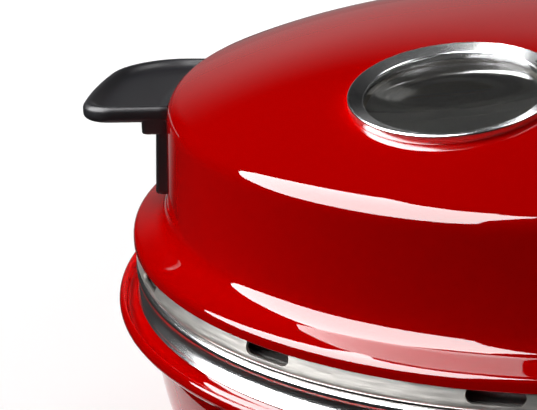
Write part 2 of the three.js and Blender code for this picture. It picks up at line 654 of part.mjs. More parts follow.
const knobPlaces = [-knob.x, knob.x];

function controlPod() {
  const outer = alongFront(prism(podShape(0), -pod.backY, -pod.frontY));
  const inner = alongFront(prism(podShape(pod.wall), -pod.backY - overrun, -pod.frontY - pod.wall));
  const shaftHoles = knobPlaces.map((x) =>
    moved(alongFront(rod(control.noseR + gap, -pod.frontY - overrun * 2, -pod.frontY + overrun)), x, 0, knob.z));
  const lampHoles = [-lamp.x, lamp.x].map((x) =>
    moved(alongFront(rod(lamp.r + gap, -pod.frontY - overrun * 2, -pod.frontY + overrun)), x, 0, lamp.z));
  return cut(outer, inner, bowlForm(gap), ...shaftHoles, ...lampHoles);
}

function controlBody(x) {
  const front = -pod.frontY - pod.wall - gap;
  const back = front - control.depth;
  const body = box(x - control.halfWidth, x + control.halfWidth, -front, -back, knob.z - control.halfHeight, knob.z + control.halfHeight);
  const nose = moved(alongFront(rod(control.noseR, back + overrun, -pod.frontY)), x, 0, knob.z);
  const bore = moved(alongFront(rod(shaft.r + shaft.clearance, back + shaft.intoBody, -pod.frontY + overrun)), x, 0, knob.z);
  return cut(joined(body, nose), bore);
}

function controlShaft(x) {
  const from = -pod.frontY - pod.wall - gap - control.depth + shaft.intoBody + gap;
  const to = -pod.frontY + knob.standOff + knob.boreDepth - gap;
  return moved(alongFront(rod(shaft.r, from, to)), x, 0, knob.z);
}

function controlKnob(x) {
  const back = -pod.frontY + knob.standOff;
  const front = back + knob.height;
  const outline = [
    point(0, back), point(knob.skirtR, back), point(knob.skirtR, back + knob.skirt), point(knob.bodyR, back + knob.skirt + knob.step),
    ...curvePoints(
      point(knob.bodyR, front - knob.skirt), point(knob.bodyR, front), point(knob.topR - knob.skirt, front), 3),
    point(0, front),
  ];
  const body = alongFront(turnedSolid(outline, middleSides));
  const bar = alongFront(prism(barShape(), front - knob.skirt, front + knob.barRise));
  const bore = alongFront(rod(shaft.r + shaft.clearance, back - overrun, back + knob.boreDepth));
  return moved(cut(joined(body, bar), bore), x, 0, knob.z);
}

function barShape() {
  const shape = new THREE.Shape();
  const length = knob.topR - knob.skirt;
  shape.absarc(0, length, knob.barHalf, 0, Math.PI, false);
  shape.absarc(0, -length, knob.barHalf, Math.PI, 2 * Math.PI, false);
  return shape;
}

function pilotLamp(x) {
  const face = -pod.frontY + gap;
  const outline = [
    point(0, face - lamp.length), point(lamp.r, face - lamp.length), point(lamp.r, face), point(lamp.domeR, face),
    ...arcPoints(0, face, lamp.domeR, lamp.dome, Math.PI / 8, Math.PI / 2, 3).slice(0, -1), point(0, face + lamp.dome),
  ];
  return moved(alongFront(turnedSolid(outline, smallSides)), x, 0, lamp.z);
}

// Underside
function coverTop() {
  return bowl.bottomZ - gap;
}

function footPlaces() {
  return [0, 1, 2, 3].map((i) => foot.first + (i * Math.PI) / 2);
}

function bottomCover() {
  const top = coverTop();
  const plate = rod(cover.r, top - cover.sheet, top, roundSides);
  const vents = Array.from({ length: cover.ventCount }, (_, i) => turned(box(
    -cover.ventWidth / 2, cover.ventWidth / 2, -cover.ventR - cover.ventLength / 2, -cover.ventR + cover.ventLength / 2,
    top - cover.sheet - overrun, top + overrun), (i * 2 * Math.PI) / cover.ventCount));
  const holes = footPlaces().map((angle) =>
    turned(moved(rod(footScrew.r + gap, top - cover.sheet - overrun, top + overrun), 0, -foot.circleR, 0), angle));
  return cut(plate, ...vents, ...holes);
}

function rubberFoot() {
  const top = coverTop() - cover.sheet - gap;
  const outline = [
    point(foot.recessR, 0), point(foot.r, 0), point(foot.topR, top), point(foot.boreR, top), point(foot.boreR, foot.recess),
    point(foot.recessR, foot.recess), point(foot.recessR, 0),
  ];
  return moved(turnedSolid(outline, middleSides), 0, -foot.circleR, 0);
}

function footBolt() {
  const low = foot.recess - gap - footScrew.head;
  const head = rod(footScrew.headR, low, foot.recess - gap);
  const shank = rod(footScrew.r, low + footScrew.head / 2, low + footScrew.length);
  return moved(joined(head, shank), 0, -foot.circleR, 0);
}

function cordGland() {
  const neck = rod(gland.neckR, -gland.outY - gland.reach, -gland.inY + overrun);
  const collar = rod(gland.flangeR, -gland.outY, -gland.inY - overrun);
  const wholeNeck = moved(alongFront(neck), gland.x, 0, gland.z);
  const trimmed = cut(moved(alongFront(collar), gland.x, 0, gland.z), bowlForm(gap));
  const bore = moved(alongFront(rod(gland.boreR, -gland.outY - gland.reach * 2, -gland.inY + overrun * 2)), gland.x, 0, gland.z);
  return cut(joined(wholeNeck, trimmed), bore);
}

function terminalBlock() {
  const low = coverTop() + gap;
  const body = box(-block.halfX, block.halfX, block.y - block.halfY, block.y + block.halfY, low, low + block.height);
  const pegs = [-block.pegX, block.pegX].map((x) => moved(rod(block.pegR, low, low + block.height + block.peg), x, block.y, 0));
  return joined(body, ...pegs);
}

// Hinge
function hingeBaseBracket() {
  const plate = box(-hinge.plateHalf, hinge.plateHalf, bowl.cornerR, hinge.plateOut, hinge.plateBottom, hinge.armTop);
  const back = hinge.y + hinge.earR;
  const arm = box(-hinge.earOuter, hinge.earOuter, bowl.midR, back, hinge.armBottom, hinge.armTop);
  const ears = [-1, 1].map((side) => {
    const low = Math.min(side * hinge.earInner, side * hinge.earOuter);
    const width = hinge.earOuter - hinge.earInner;
    const post = box(low, low + width, hinge.earInY, back, hinge.armBottom, hingeZ);
    const head = moved(alongX(rod(hinge.earR, 0, width, middleSides)), low, hinge.y, hingeZ);
    return joined(post, head);
  });
  const bore = moved(alongX(rod(hinge.boreR, -hinge.pinHalf - overrun, hinge.pinHalf + overrun, middleSides)), 0, hinge.y, hingeZ);
  const screws = gripSides.map((side) => {
    const hole = rod(hinge.screwR + gap, -hinge.plateOut - overrun, -bowl.cornerR);
    const well = rod(hinge.headR + gap, -hinge.plateOut - longRun, -hinge.plateOut + hinge.head + gap);
    return moved(alongFront(joined(hole, well)), side * hinge.baseScrewX, 0, hinge.baseScrewZ);
  });
  return cut(joined(plate, arm, ...ears), bowlForm(gap), bore, ...screws);
}

function hingeLidBracket() {
  const shape = new THREE.Shape([
    point(hinge.leafInY, hinge.leafTop), point(hinge.leafOut, hinge.leafTop), point(hinge.leafShelfY, hinge.leafShelfZ),
    point(hinge.leafBendY, hinge.leafBendZ), point(hinge.y + hinge.knuckleR / 2, hinge.z + hinge.knuckleR * hinge.leafCrestShare),
    point(hinge.y, hinge.z), point(hinge.leafNeckY, hinge.leafNeckZ), point(hinge.leafUnderY, hinge.leafUnderZ),
    point(hinge.leafInY, hinge.leafUnderZ),
  ]);
  const leaf = prism(shape, -hinge.leafHalf, hinge.leafHalf).rotate([90, 0, 90]);
  const knuckle = moved(alongX(rod(hinge.knuckleR, -hinge.knuckleHalf, hinge.knuckleHalf, middleSides)), 0, hinge.y, hinge.z);
  const bore = moved(alongX(rod(hinge.boreR, -hinge.pinHalf, hinge.pinHalf, middleSides)), 0, hinge.y, hinge.z);
  const screws = gripSides.map((side) => {
    const hole = rod(hinge.screwR + gap, -hinge.leafOut - overrun, -hinge.leafInY);
    const well = rod(hinge.headR + gap, -hinge.leafOut - longRun, -hinge.leafOut + hinge.head + gap);
    return moved(alongFront(joined(hole, well)), side * hinge.lidScrewX, 0, hinge.lidScrewZ);
  });
  return cut(joined(leaf, knuckle), lidForm(gap), bore, ...screws);
}

function hingePin() {
  return moved(alongX(rod(hinge.pinR, -hinge.pinHalf, hinge.pinHalf, middleSides)), 0, hinge.y, hingeZ);
}

// A screw through the rear, its head towards +Y.
function rearScrew(headFace, x, z) {
  const head = rod(hinge.headR, -headFace, -headFace + hinge.head);
  const shank = rod(hinge.screwR, -headFace + hinge.head / 2, -headFace + hinge.head + hinge.length);
  return moved(alongFront(joined(head, shank)), x, 0, z);
}

// Finishes
const finishes = {
  red_enamel: { color: 0xb00806, roughness: 0.12, metalness: 0 },
  polished_steel: { color: 0xd8d8dc, roughness: 0.08, metalness: 1 },
  brushed_steel: { color: 0xa8a49e, roughness: 0.34, metalness: 1 },
  dull_steel: { color: 0x9a9a9c, roughness: 0.4, metalness: 1 },
  element_steel: { color: 0x55524e, roughness: 0.5, metalness: 0.9 },
  glass: { color: 0x20242a, roughness: 0.03, metalness: 0, transparent: true, opacity: 0.4 },
  black_plastic: { color: 0x1c1c20, roughness: 0.45, metalness: 0 },
  black_gloss: { color: 0x101012, roughness: 0.2, metalness: 0 },
  rubber: { color: 0x171717, roughness: 0.85, metalness: 0 },
  gasket: { color: 0x8a8176, roughness: 0.9, metalness: 0 },
  cordierite: { color: 0xc9b08c, roughness: 0.95, metalness: 0 },
  ceramic: { color: 0xe6e0d2, roughness: 0.5, metalness: 0 },
  red_lens: { color: 0xc01010, roughness: 0.15, metalness: 0 },
  green_lens: { color: 0x1f9a3c, roughness: 0.15, metalness: 0 },
};

const oven = new THREE.Group();
const axisGroup = new THREE.Group();
axisGroup.position.set(0, axisY, 0);
const lidGroup = new THREE.Group();
lidGroup.position.set(0, 0, edgeZ);
axisGroup.add(lidGroup);
oven.add(axisGroup);

function addPiece(group, name, body, finish) {
  const mesh = new THREE.Mesh(geometryOf(body), new THREE.MeshStandardMaterial(finishes[finish]));
  mesh.name = name;
  group.add(mesh);
}

// Base
addPiece(axisGroup, 'base_bowl', baseBowl(), 'red_enamel');
addPiece(axisGroup, 'rim_ring', rimRing(), 'polished_steel');
addPiece(axisGroup, 'heat_pan', heatPan(), 'dull_steel');
addPiece(axisGroup, 'lower_element', heatingElement(lower), 'element_steel');
clipAngles().forEach((angle, i) => {
  addPiece(axisGroup, `lower_element_clip_${i + 1}`, turned(elementClip(lower, pan.floorZ + pan.sheet + gap), angle), 'dull_steel');
});
for (let i = 0; i < support.count; i += 1) {
  const angle = support.first + (i * 2 * Math.PI) / support.count;
  addPiece(axisGroup, `stone_support_${i + 1}`, turned(stoneSupport(), angle), 'dull_steel');
}
addPiece(axisGroup, 'pizza_stone', pizzaStone(), 'cordierite');
addPiece(axisGroup, 'control_pod', controlPod(), 'black_plastic');
['thermostat', 'timer'].forEach((name, i) => {
  addPiece(axisGroup, `${name}_body`, controlBody(knobPlaces[i]), 'dull_steel');
  addPiece(axisGroup, `${name}_shaft`, controlShaft(knobPlaces[i]), 'brushed_steel');
  addPiece(axisGroup, `${name}_knob`, controlKnob(knobPlaces[i]), 'black_gloss');
});
addPiece(axisGroup, 'power_lamp', pilotLamp(-lamp.x), 'red_lens');
addPiece(axisGroup, 'heat_lamp', pilotLamp(lamp.x), 'green_lens');
addPiece(axisGroup, 'bottom_cover', bottomCover(), 'dull_steel');
footPlaces().forEach((angle, i) => {
  addPiece(axisGroup, `foot_${i + 1}`, turned(rubberFoot(), angle), 'rubber');
});
footPlaces().forEach((angle, i) => {
  addPiece(axisGroup, `foot_screw_${i + 1}`, turned(footBolt(), angle), 'dull_steel');
});
addPiece(axisGroup, 'cord_gland', cordGland(), 'rubber');
addPiece(axisGroup, 'terminal_block', terminalBlock(), 'ceramic');
addPiece(axisGroup, 'hinge_base_bracket', hingeBaseBracket(), 'black_plastic');
addPiece(axisGroup, 'hinge_pin', hingePin(), 'brushed_steel');
gripSides.forEach((side, i) => {
  const screw = rearScrew(hinge.plateOut - gap, side * hinge.baseScrewX, hinge.baseScrewZ);
  addPiece(axisGroup, `hinge_base_screw_${i + 1}`, screw, 'dull_steel');
});

// Lid
addPiece(lidGroup, 'lid_shell', lidShell(), 'red_enamel');
addPiece(lidGroup, 'slotted_band', slottedBand(), 'brushed_steel');
addPiece(lidGroup, 'lid_reflector', lidReflector(), 'dull_steel');
addPiece(lidGroup, 'upper_element', heatingElement(upper), 'element_steel');
clipAngles().forEach((angle, i) => {
  const reach = reflectorZ(upper.ringR) + clip.short;
  addPiece(lidGroup, `upper_element_clip_${i + 1}`, turned(elementClip(upper, reach), angle), 'dull_steel');
});
addPiece(lidGroup, 'window_ring', windowRing(), 'polished_steel');
const windowPieces = windowParts();
addPiece(lidGroup, 'window_glass', windowPieces.glass, 'glass');
addPiece(lidGroup, 'window_gasket', windowPieces.gasket, 'gasket');
addPiece(lidGroup, 'window_nut', windowPieces.nut, 'dull_steel');
addPiece(lidGroup, 'window_funnel', windowPieces.funnel, 'dull_steel');
['left', 'right'].forEach((name, i) => {
  addPiece(lidGroup, `${name}_grip`, sideGrip(gripSides[i]), 'black_plastic');
  gripScrewPlaces().forEach((place, k) => {
    addPiece(lidGroup, `${name}_grip_screw_${k + 1}`, gripScrew(gripSides[i] * grip.angle + place), 'dull_steel');
  });
});
addPiece(lidGroup, 'hinge_lid_bracket', hingeLidBracket(), 'black_plastic');
gripSides.forEach((side, i) => {
  const screw = rearScrew(hinge.leafOut - gap, side * hinge.lidScrewX, hinge.lidScrewZ);
  addPiece(lidGroup, `hinge_lid_screw_${i + 1}`, screw, 'dull_steel');
});

export default oven;
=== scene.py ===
"""Countertop electric pizza oven: red enamel base and domed lid, polished rim, slotted band, grips, baking stone."""
import json
import math
from types import SimpleNamespace

import bmesh
import bpy
import numpy as np
from bpy.props import FloatProperty, FloatVectorProperty, IntProperty, PointerProperty
from mathutils import Matrix, Vector


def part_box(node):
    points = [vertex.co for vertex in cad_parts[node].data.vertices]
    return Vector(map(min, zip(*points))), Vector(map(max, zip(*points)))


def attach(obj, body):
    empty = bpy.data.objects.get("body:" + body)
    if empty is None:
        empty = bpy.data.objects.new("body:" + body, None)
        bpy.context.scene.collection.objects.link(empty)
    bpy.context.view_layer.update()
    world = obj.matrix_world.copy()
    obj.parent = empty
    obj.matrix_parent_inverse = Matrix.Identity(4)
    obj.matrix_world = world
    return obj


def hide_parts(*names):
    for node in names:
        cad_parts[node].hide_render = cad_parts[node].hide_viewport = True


bl_info = {
    "name": "Pizza Oven",
    "version": (1, 0, 0),
    "blender": (4, 5, 0),
    "location": "View3D > Sidebar > Oven",
    "description": "Builds a countertop electric pizza oven around its packed frame",
    "category": "Add Mesh",
}

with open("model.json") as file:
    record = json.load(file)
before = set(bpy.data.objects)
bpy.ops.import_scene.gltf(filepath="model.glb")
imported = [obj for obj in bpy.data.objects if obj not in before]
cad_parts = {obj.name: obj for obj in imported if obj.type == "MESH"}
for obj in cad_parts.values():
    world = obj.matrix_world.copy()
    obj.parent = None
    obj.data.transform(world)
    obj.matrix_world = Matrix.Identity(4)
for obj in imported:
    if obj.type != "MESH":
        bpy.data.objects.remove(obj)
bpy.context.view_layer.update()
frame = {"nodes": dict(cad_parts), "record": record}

# Sizes are in millimetres about the oven's axis, with the table at zero; those of the lid start at its lower edge.
MM = 0.001
MICRON = 0.000001
EDGE_Z = 118.0          # lid's lower edge above the table
HINGE_Y = 189.0         # hinge pin behind the lid's axis
HINGE_Z = EDGE_Z - 6.0
STONE_RADIUS = 152.0
AXIS_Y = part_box("pizza_stone")[0].y / MM + STONE_RADIUS
LEDGE_RADIUS = 177.0
POD_FRONT = LEDGE_RADIUS + 1.0
KNOB_X, LAMP_X, LAMP_Z = 34.0, 7.0, 62.0
FOOT_CIRCLE = 104.0     # radius on which the feet stand
GLAND_X, GLAND_Z = 70.0, 38.0
BEAD = (167.3, EDGE_Z - 11.3)   # middle of the rim ring's bead
BEAD_RADIUS, BEAD_DROP = 2.15, 8.3
ELEMENT_LEVELS = {"lower": 76.0, "upper": 38.0}     # upper one over the lid's edge
ELEMENT_GAP = 9.0       # half of the angle between an element's two ends, in degrees
ROUND = 192             # steps round the large turned pieces
EVEN, TURNED, STONE = "Even Surface", "Turned Lines", "Fired Stone"


# Outlines


def bezier(start, first, second, end, count):
    """Points of a cubic curve, without its first point."""
    t = np.linspace(0, 1, count + 1)[1:, None]
    a, b, c, d = (np.array(p, float) for p in (start, first, second, end))
    return (1 - t) ** 3 * a + 3 * (1 - t) ** 2 * t * b + 3 * (1 - t) * t ** 2 * c + t ** 3 * d


def arc(x, z, rx, rz, start, end, count):
    """Points of an elliptic arc, both ends included, with angles in degrees."""
    t = np.radians(np.linspace(start, end, count + 1))
    return np.stack([x + rx * np.cos(t), z + rz * np.sin(t)], 1)


def line(start, end, count):
    """Points of a straight line, without its first point."""
    t = np.linspace(0, 1, count + 1)[1:, None]
    return (1 - t) * np.array(start, float) + t * np.array(end, float)


def chain(*steps):
    """Joined points; a step is a point, a line (end, count), a cubic curve (handle, handle, end, count) or an array."""
    rows = []
    for step in steps:
        if isinstance(step, np.ndarray):
            rows.append(step)
        elif isinstance(step[0], tuple):
            *handles, end, count = step
            rows.append((bezier if handles else line)(rows[-1][-1], *handles, end, count))
        else:
            rows.append([step])
    return np.vstack(rows)


def beside(path, distance):
    """The line at a distance to the left of a path of points."""
    path = np.asarray(path, float)
    step = np.diff(path, axis=0)
    step /= np.linalg.norm(step, axis=1)[:, None]
    before = np.vstack([step[:1], step])
    along = before + np.vstack([step, step[-1:]])
    along /= np.linalg.norm(along, axis=1)[:, None]
    left = np.stack([-along[:, 1], along[:, 0]], 1)
    stretch = 1 / np.clip(np.sum(along * before, 1), 0.6, 1)
    out = path + left * (distance * stretch)[:, None]
    out[path[:, 0] < 1e-6, 0] = 0
    return out


def sheet_outline(path, thickness=1.2):
    """A closed outline for sheet metal along a path, its thickness on the left."""
    return np.vstack([path, beside(path, thickness)[::-1]])


# Meshes


def turned(outline, closed=True, steps=ROUND):
    """Vertices and faces of an outline of (radius, height) points turned about Z."""
    angles = np.linspace(0, 2 * math.pi, steps, endpoint=False) - math.pi / 2
    verts, rows = [], []
    for r, z in np.asarray(outline, float):
        if r < 1e-6:
            rows.append([len(verts)] * steps)
            verts.append((0, 0, z))
        else:
            rows.append(list(range(len(verts), len(verts) + steps)))
            verts.extend((r * math.cos(a), r * math.sin(a), z) for a in angles)
    faces = []
    count = len(rows)
    for i in range(count if closed else count - 1):
        low, high = rows[i], rows[(i + 1) % count]
        if low[0] == low[1] and high[0] == high[1]:
            continue
        for k in range(steps):
            n = (k + 1) % steps
            face = [low[k], low[n], high[n], high[k]]
            faces.append([v for j, v in enumerate(face) if v != face[j - 1]])
    return verts, faces


def lofted(loops, capped=True):
    """Vertices and faces of a skin over closed loops of equal length."""
    count, last = len(loops[0]), len(loops) - 1
    verts = [tuple(p) for loop in loops for p in loop]
    faces = []
    for a in range(0, last * count, count):
        for k in range(count):
            n = (k + 1) % count
            faces.append([a + k, a + n, a + count + n, a + count + k])
    if capped:
        faces.append(list(range(count))[::-1])
        faces.append([last * count + k for k in range(count)])
    return verts, faces


def joined(*parts):
    """One vertex and face list from several."""
    verts, faces = [], []
    for part_verts, part_faces in parts:
        base = len(verts)
        verts.extend(tuple(v) for v in part_verts)
        faces.extend([base + i for i in face] for face in part_faces)
    return verts, faces


def placed(part, matrix):
    """The same part with its vertices moved by a matrix."""
    verts, faces = part
    return [tuple(matrix @ Vector(v)) for v in verts], faces


def shift(x, y, z):
    return Matrix.Translation((x, y, z))


def turn(degrees, axis):
    return Matrix.Rotation(math.radians(degrees), 4, axis)


def rod(r, low, high, chamfer=0.0, steps=48):
    """A round bar on Z with chamfered ends."""
    outline = [(0, low), (r, low), (r, high), (0, high)]
    if chamfer:
        c, part = chamfer, 0.3 * chamfer
        outline = [(0, low), (r - c, low), (r - part, low + part), (r, low + c), (r, high - c),
                   (r - part, high - part), (r - c, high), (0, high)]
    return turned(outline, closed=False, steps=steps)


def box_part(low, high):
    """A plain box, used only as a cutter or as a printed tick."""
    (x0, y0, z0), (x1, y1, z1) = low, high
    return lofted([[(x0, y0, z), (x1, y0, z), (x1, y1, z), (x0, y1, z)] for z in (z0, z1)])


def link_object(name, data):
    """A new object in the scene."""
    made = bpy.data.objects.new(name, data)
    bpy.context.scene.collection.objects.link(made)
    return made


def mesh_object(name, part, body="base", edges=()):
    """A clean mesh object from a part about the oven's axis."""
    verts, faces = part
    lift = EDGE_Z if body == "lid" else 0.0
    mesh = bpy.data.meshes.new(name)
    mesh.from_pydata([(x * MM, (y + AXIS_Y) * MM, (z + lift) * MM) for x, y, z in verts], edges, faces)
    tidy(mesh)
    return link_object(name, mesh)


def tidy(mesh):
    """Merges doubles and turns every face outwards."""
    work = bmesh.new()
    work.from_mesh(mesh)
    bmesh.ops.remove_doubles(work, verts=work.verts, dist=1e-6)
    bmesh.ops.dissolve_degenerate(work, edges=work.edges, dist=1e-7)
    bmesh.ops.recalc_face_normals(work, faces=work.faces)
    work.to_mesh(mesh)
    work.free()


def bake_modifiers(piece):
    """Turns the piece's modifiers into plain mesh."""
    bpy.context.view_layer.update()
    evaluated = piece.evaluated_get(bpy.context.evaluated_depsgraph_get())
    mesh = bpy.data.meshes.new_from_object(evaluated)
    piece.modifiers.clear()
    old = piece.data
    piece.data = mesh
    bpy.data.meshes.remove(old)


def boolean(piece, tool, operation="DIFFERENCE"):
    """Cuts or joins with a tool object, exactly, and removes the tool."""
    modifier = piece.modifiers.new(operation.title(), "BOOLEAN")
    modifier.operation = operation
    modifier.solver = "EXACT"
    modifier.object = tool
    bake_modifiers(piece)
    bpy.data.objects.remove(tool)


def add_piece(name, part, body, slot, replaces=(), look=None, sharp=35.0, cuts=(), unions=(), copies=None):
    """Makes a piece, cuts it, joins to it, repeats it, finishes it, hangs it from its body and hides the nodes it
    replaces; look names a finish of its own.
    """
    piece = mesh_object(name, part, body)
    for operation, tools in (("DIFFERENCE", cuts), ("UNION", unions)):
        for tool in tools:
            boolean(piece, mesh_object("tool", tool, body) if isinstance(tool, tuple) else tool, operation)
    if copies:
        copies(piece)
    finish_piece(piece, body, finish(look or slot), replaces, sharp)


def finish_piece(piece, body, material, replaces, sharp):
    """Smooth shading with sharp edges kept, the material, the body it hangs from, and the replaced nodes hidden."""
    mesh = piece.data
    mesh.materials.clear()
    mesh.materials.append(material)
    mesh.polygons.foreach_set("material_index", [0] * len(mesh.polygons))
    mesh.polygons.foreach_set("use_smooth", [True] * len(mesh.polygons))
    mesh.set_sharp_from_angle(angle=math.radians(sharp))
    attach(piece, body)
    if replaces:
        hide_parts(*replaces)


def numbered(name, count):
    """Names of like nodes, numbered from one."""
    return tuple(f"{name}_{i + 1}" for i in range(count))


# Node trees


def add_node(tree, kind, inputs=None, **settings):
    """A node with its settings, and its inputs linked to sockets or set to values; gives its first output."""
    node = tree.nodes.new(kind)
    for key, value in settings.items():
        setattr(node, key, value)
    for key, value in (inputs or {}).items():
        if isinstance(value, bpy.types.NodeSocket):
            tree.links.new(value, node.inputs[key])
        else:
            node.inputs[key].default_value = value
    return node.outputs[0]


def maths(tree, operation, first, second=0.0, third=0.0):
    """The output of a Math node over sockets or numbers."""
    return add_node(tree, "ShaderNodeMath", {0: first, 1: second, 2: third}, operation=operation)


def new_group(name, kind, inputs, outputs):
    """A node group with named sockets: its tree, what it is given, and the sockets that it fills."""
    tree = bpy.data.node_groups.new(name, kind)
    for side, rows in (("INPUT", inputs), ("OUTPUT", outputs)):
        for label, socket_kind, *value in rows:
            socket = tree.interface.new_socket(label, in_out=side, socket_type=f"NodeSocket{socket_kind}")
            if value:
                socket.default_value = value[0]
    return tree, tree.nodes.new("NodeGroupInput").outputs, tree.nodes.new("NodeGroupOutput").inputs


def copies_group(name, inputs):
    """A geometry group that ends in a material."""
    geometry = (("Geometry", "Geometry"),)
    return new_group(name, "GeometryNodeTree", (*geometry, *inputs, ("Material", "Material")), geometry)


def close_copies(tree, given, end, instances):
    """Ends a geometry group with real geometry in its material."""
    real = add_node(tree, "GeometryNodeRealizeInstances", {"Geometry": instances})
    paint = add_node(tree, "GeometryNodeSetMaterial", {"Geometry": real, "Material": given["Material"]})
    tree.links.new(paint, end["Geometry"])
    return tree


def ring_tree():
    """Copies of a piece turned about Z: Count of them, Step apart, from First."""
    tree, given, end = copies_group("Ring of Copies", (("Count", "Int"), ("First", "Float"), ("Step", "Float")))
    angle = maths(tree, "MULTIPLY_ADD", add_node(tree, "GeometryNodeInputIndex"), given["Step"], given["First"])
    points = add_node(tree, "GeometryNodePoints", {"Count": given["Count"]})
    rotation = add_node(tree, "ShaderNodeCombineXYZ", {"Z": angle})
    return close_copies(tree, given, end, add_node(tree, "GeometryNodeInstanceOnPoints", {
        "Points": points, "Instance": given["Geometry"], "Rotation": rotation}))


def row_tree():
    """Copies of a piece in a straight row: Count of them, Offset apart."""
    tree, given, end = copies_group("Row of Copies", (("Count", "Int"), ("Offset", "Vector")))
    row = add_node(tree, "GeometryNodeMeshLine", {"Count": given["Count"], "Offset": given["Offset"]})
    return close_copies(tree, given, end, add_node(tree, "GeometryNodeInstanceOnPoints", {
        "Points": row, "Instance": given["Geometry"]}))


def tube_tree():
    """A round tube of a Radius with capped ends along the piece's edges."""
    tree, given, end = copies_group("Bent Tube", (("Radius", "Float"), ("Sides", "Int")))
    path = add_node(tree, "GeometryNodeMeshToCurve", {0: given["Geometry"]})
    section = add_node(tree, "GeometryNodeCurvePrimitiveCircle", {
        "Resolution": given["Sides"], "Radius": given["Radius"]})
    return close_copies(tree, given, end, add_node(tree, "GeometryNodeCurveToMesh", {
        "Curve": path, "Profile Curve": section, "Fill Caps": True}))


def repeated(name, values):
    """A function that adds the named geometry group to a piece with these input values, and bakes it."""
    def apply(piece):
        tree = shared_group(name)
        modifier = piece.modifiers.new(name, "NODES")
        modifier.node_group = tree
        for item in tree.interface.items_tree:
            if item.in_out == "INPUT" and item.name in values:
                modifier[item.identifier] = values[item.name]
        bake_modifiers(piece)
    return apply


def ring_of(count, material, first=0.0, step=None):
    """Copies round the oven's axis, which the tree takes at the object's origin; angles in radians."""
    values = {"Count": count, "First": first, "Step": step or 2 * math.pi / count, "Material": finish(material)}

    def apply(piece):
        axis = shift(0, AXIS_Y * MM, 0)
        piece.data.transform(axis.inverted())
        repeated("Ring of Copies", values)(piece)
        piece.data.transform(axis)
    return apply


def finish_group(name, inputs):
    """A shader group for a finish, with the inputs that all finishes share."""
    shared = (("Colour", "Color", (0.5, 0.5, 0.5, 1)), ("Shade Spread", "Float", 0.05), ("Roughness", "Float", 0.4),
              ("Roughness Spread", "Float", 0.05))
    outputs = (("Colour", "Color"), ("Roughness", "Float"), ("Height", "Float"))
    tree, given, end = new_group(name, "ShaderNodeTree", (*shared, *inputs), outputs)
    return tree, given, end, add_node(tree, "ShaderNodeTexCoord").node.outputs["Object"]


def fill(tree, end, colour, rough, height):
    """Links a finish's results to the group's outputs."""
    for label, socket in (("Colour", colour), ("Roughness", rough), ("Height", height)):
        tree.links.new(socket, end[label])
    return tree


def noise(tree, vector, scale, detail, rough=0.5):
    """A noise texture over a vector; scale is a number or a socket."""
    return add_node(tree, "ShaderNodeTexNoise", {
        "Vector": vector, "Scale": scale, "Detail": detail, "Roughness": rough})


def spread(tree, value, centre, amount):
    """centre + (value - 0.5) * 2 * amount, where centre and amount are sockets or numbers."""
    double = maths(tree, "MULTIPLY", maths(tree, "SUBTRACT", value, 0.5), 2.0)
    return maths(tree, "ADD", maths(tree, "MULTIPLY", double, amount), centre)


def shaded(tree, colour, factor):
    """A colour multiplied by a factor socket."""
    return add_node(tree, "ShaderNodeVectorMath", {0: colour, "Scale": factor}, operation="SCALE")


def even_group():
    """Fine and broad variation of an even surface, such as enamel, moulded plastic, rubber or sheet."""
    tree, given, end, place = finish_group(EVEN, (
        ("Grain Scale", "Float", 900.0), ("Grain", "Float", 1.0), ("Broad Scale", "Float", 18.0)))
    broad = noise(tree, place, given["Broad Scale"], 4.0)
    fine = noise(tree, place, given["Grain Scale"], 2.0)
    mottled = spread(tree, broad, 1.0, given["Shade Spread"])
    grained = maths(tree, "MULTIPLY", spread(tree, fine, 1.0, given["Shade Spread"]), mottled)
    rough = spread(tree, broad, given["Roughness"], given["Roughness Spread"])
    height = maths(tree, "MULTIPLY", fine, given["Grain"])
    return fill(tree, end, shaded(tree, given["Colour"], grained), rough, height)


def turned_group():
    """Fine lines left by turning or brushing round the oven's axis, with broad clouding."""
    tree, given, end, place = finish_group(TURNED, (
        ("Line Scale", "Float", 1400.0), ("Line Length", "Float", 14.0), ("Lines", "Float", 1.0)))
    centre = add_node(tree, "ShaderNodeVectorMath", {0: place, 1: (0, AXIS_Y * MM, 0)}, operation="SUBTRACT")
    x, y, z = add_node(tree, "ShaderNodeSeparateXYZ", {0: centre}).node.outputs
    squares = maths(tree, "ADD", maths(tree, "MULTIPLY", x, x), maths(tree, "MULTIPLY", y, y))
    radius = maths(tree, "SQRT", squares)
    slant = maths(tree, "ADD", z, maths(tree, "MULTIPLY", radius, 0.7))
    around = [maths(tree, "MULTIPLY", maths(tree, "DIVIDE", value, radius), given["Line Length"]) for value in (x, y)]
    across = maths(tree, "MULTIPLY", slant, given["Line Scale"])
    lines = noise(tree, add_node(tree, "ShaderNodeCombineXYZ", dict(zip("XYZ", (*around, across)))), 1.0, 4.0, 0.65)
    clouds = spread(tree, noise(tree, place, 26.0, 3.0), 1.0, maths(tree, "MULTIPLY", given["Shade Spread"], 0.5))
    shade = maths(tree, "MULTIPLY", spread(tree, lines, 1.0, given["Shade Spread"]), clouds)
    rough = spread(tree, lines, given["Roughness"], given["Roughness Spread"])
    height = maths(tree, "MULTIPLY", lines, given["Lines"])
    return fill(tree, end, shaded(tree, given["Colour"], shade), rough, height)


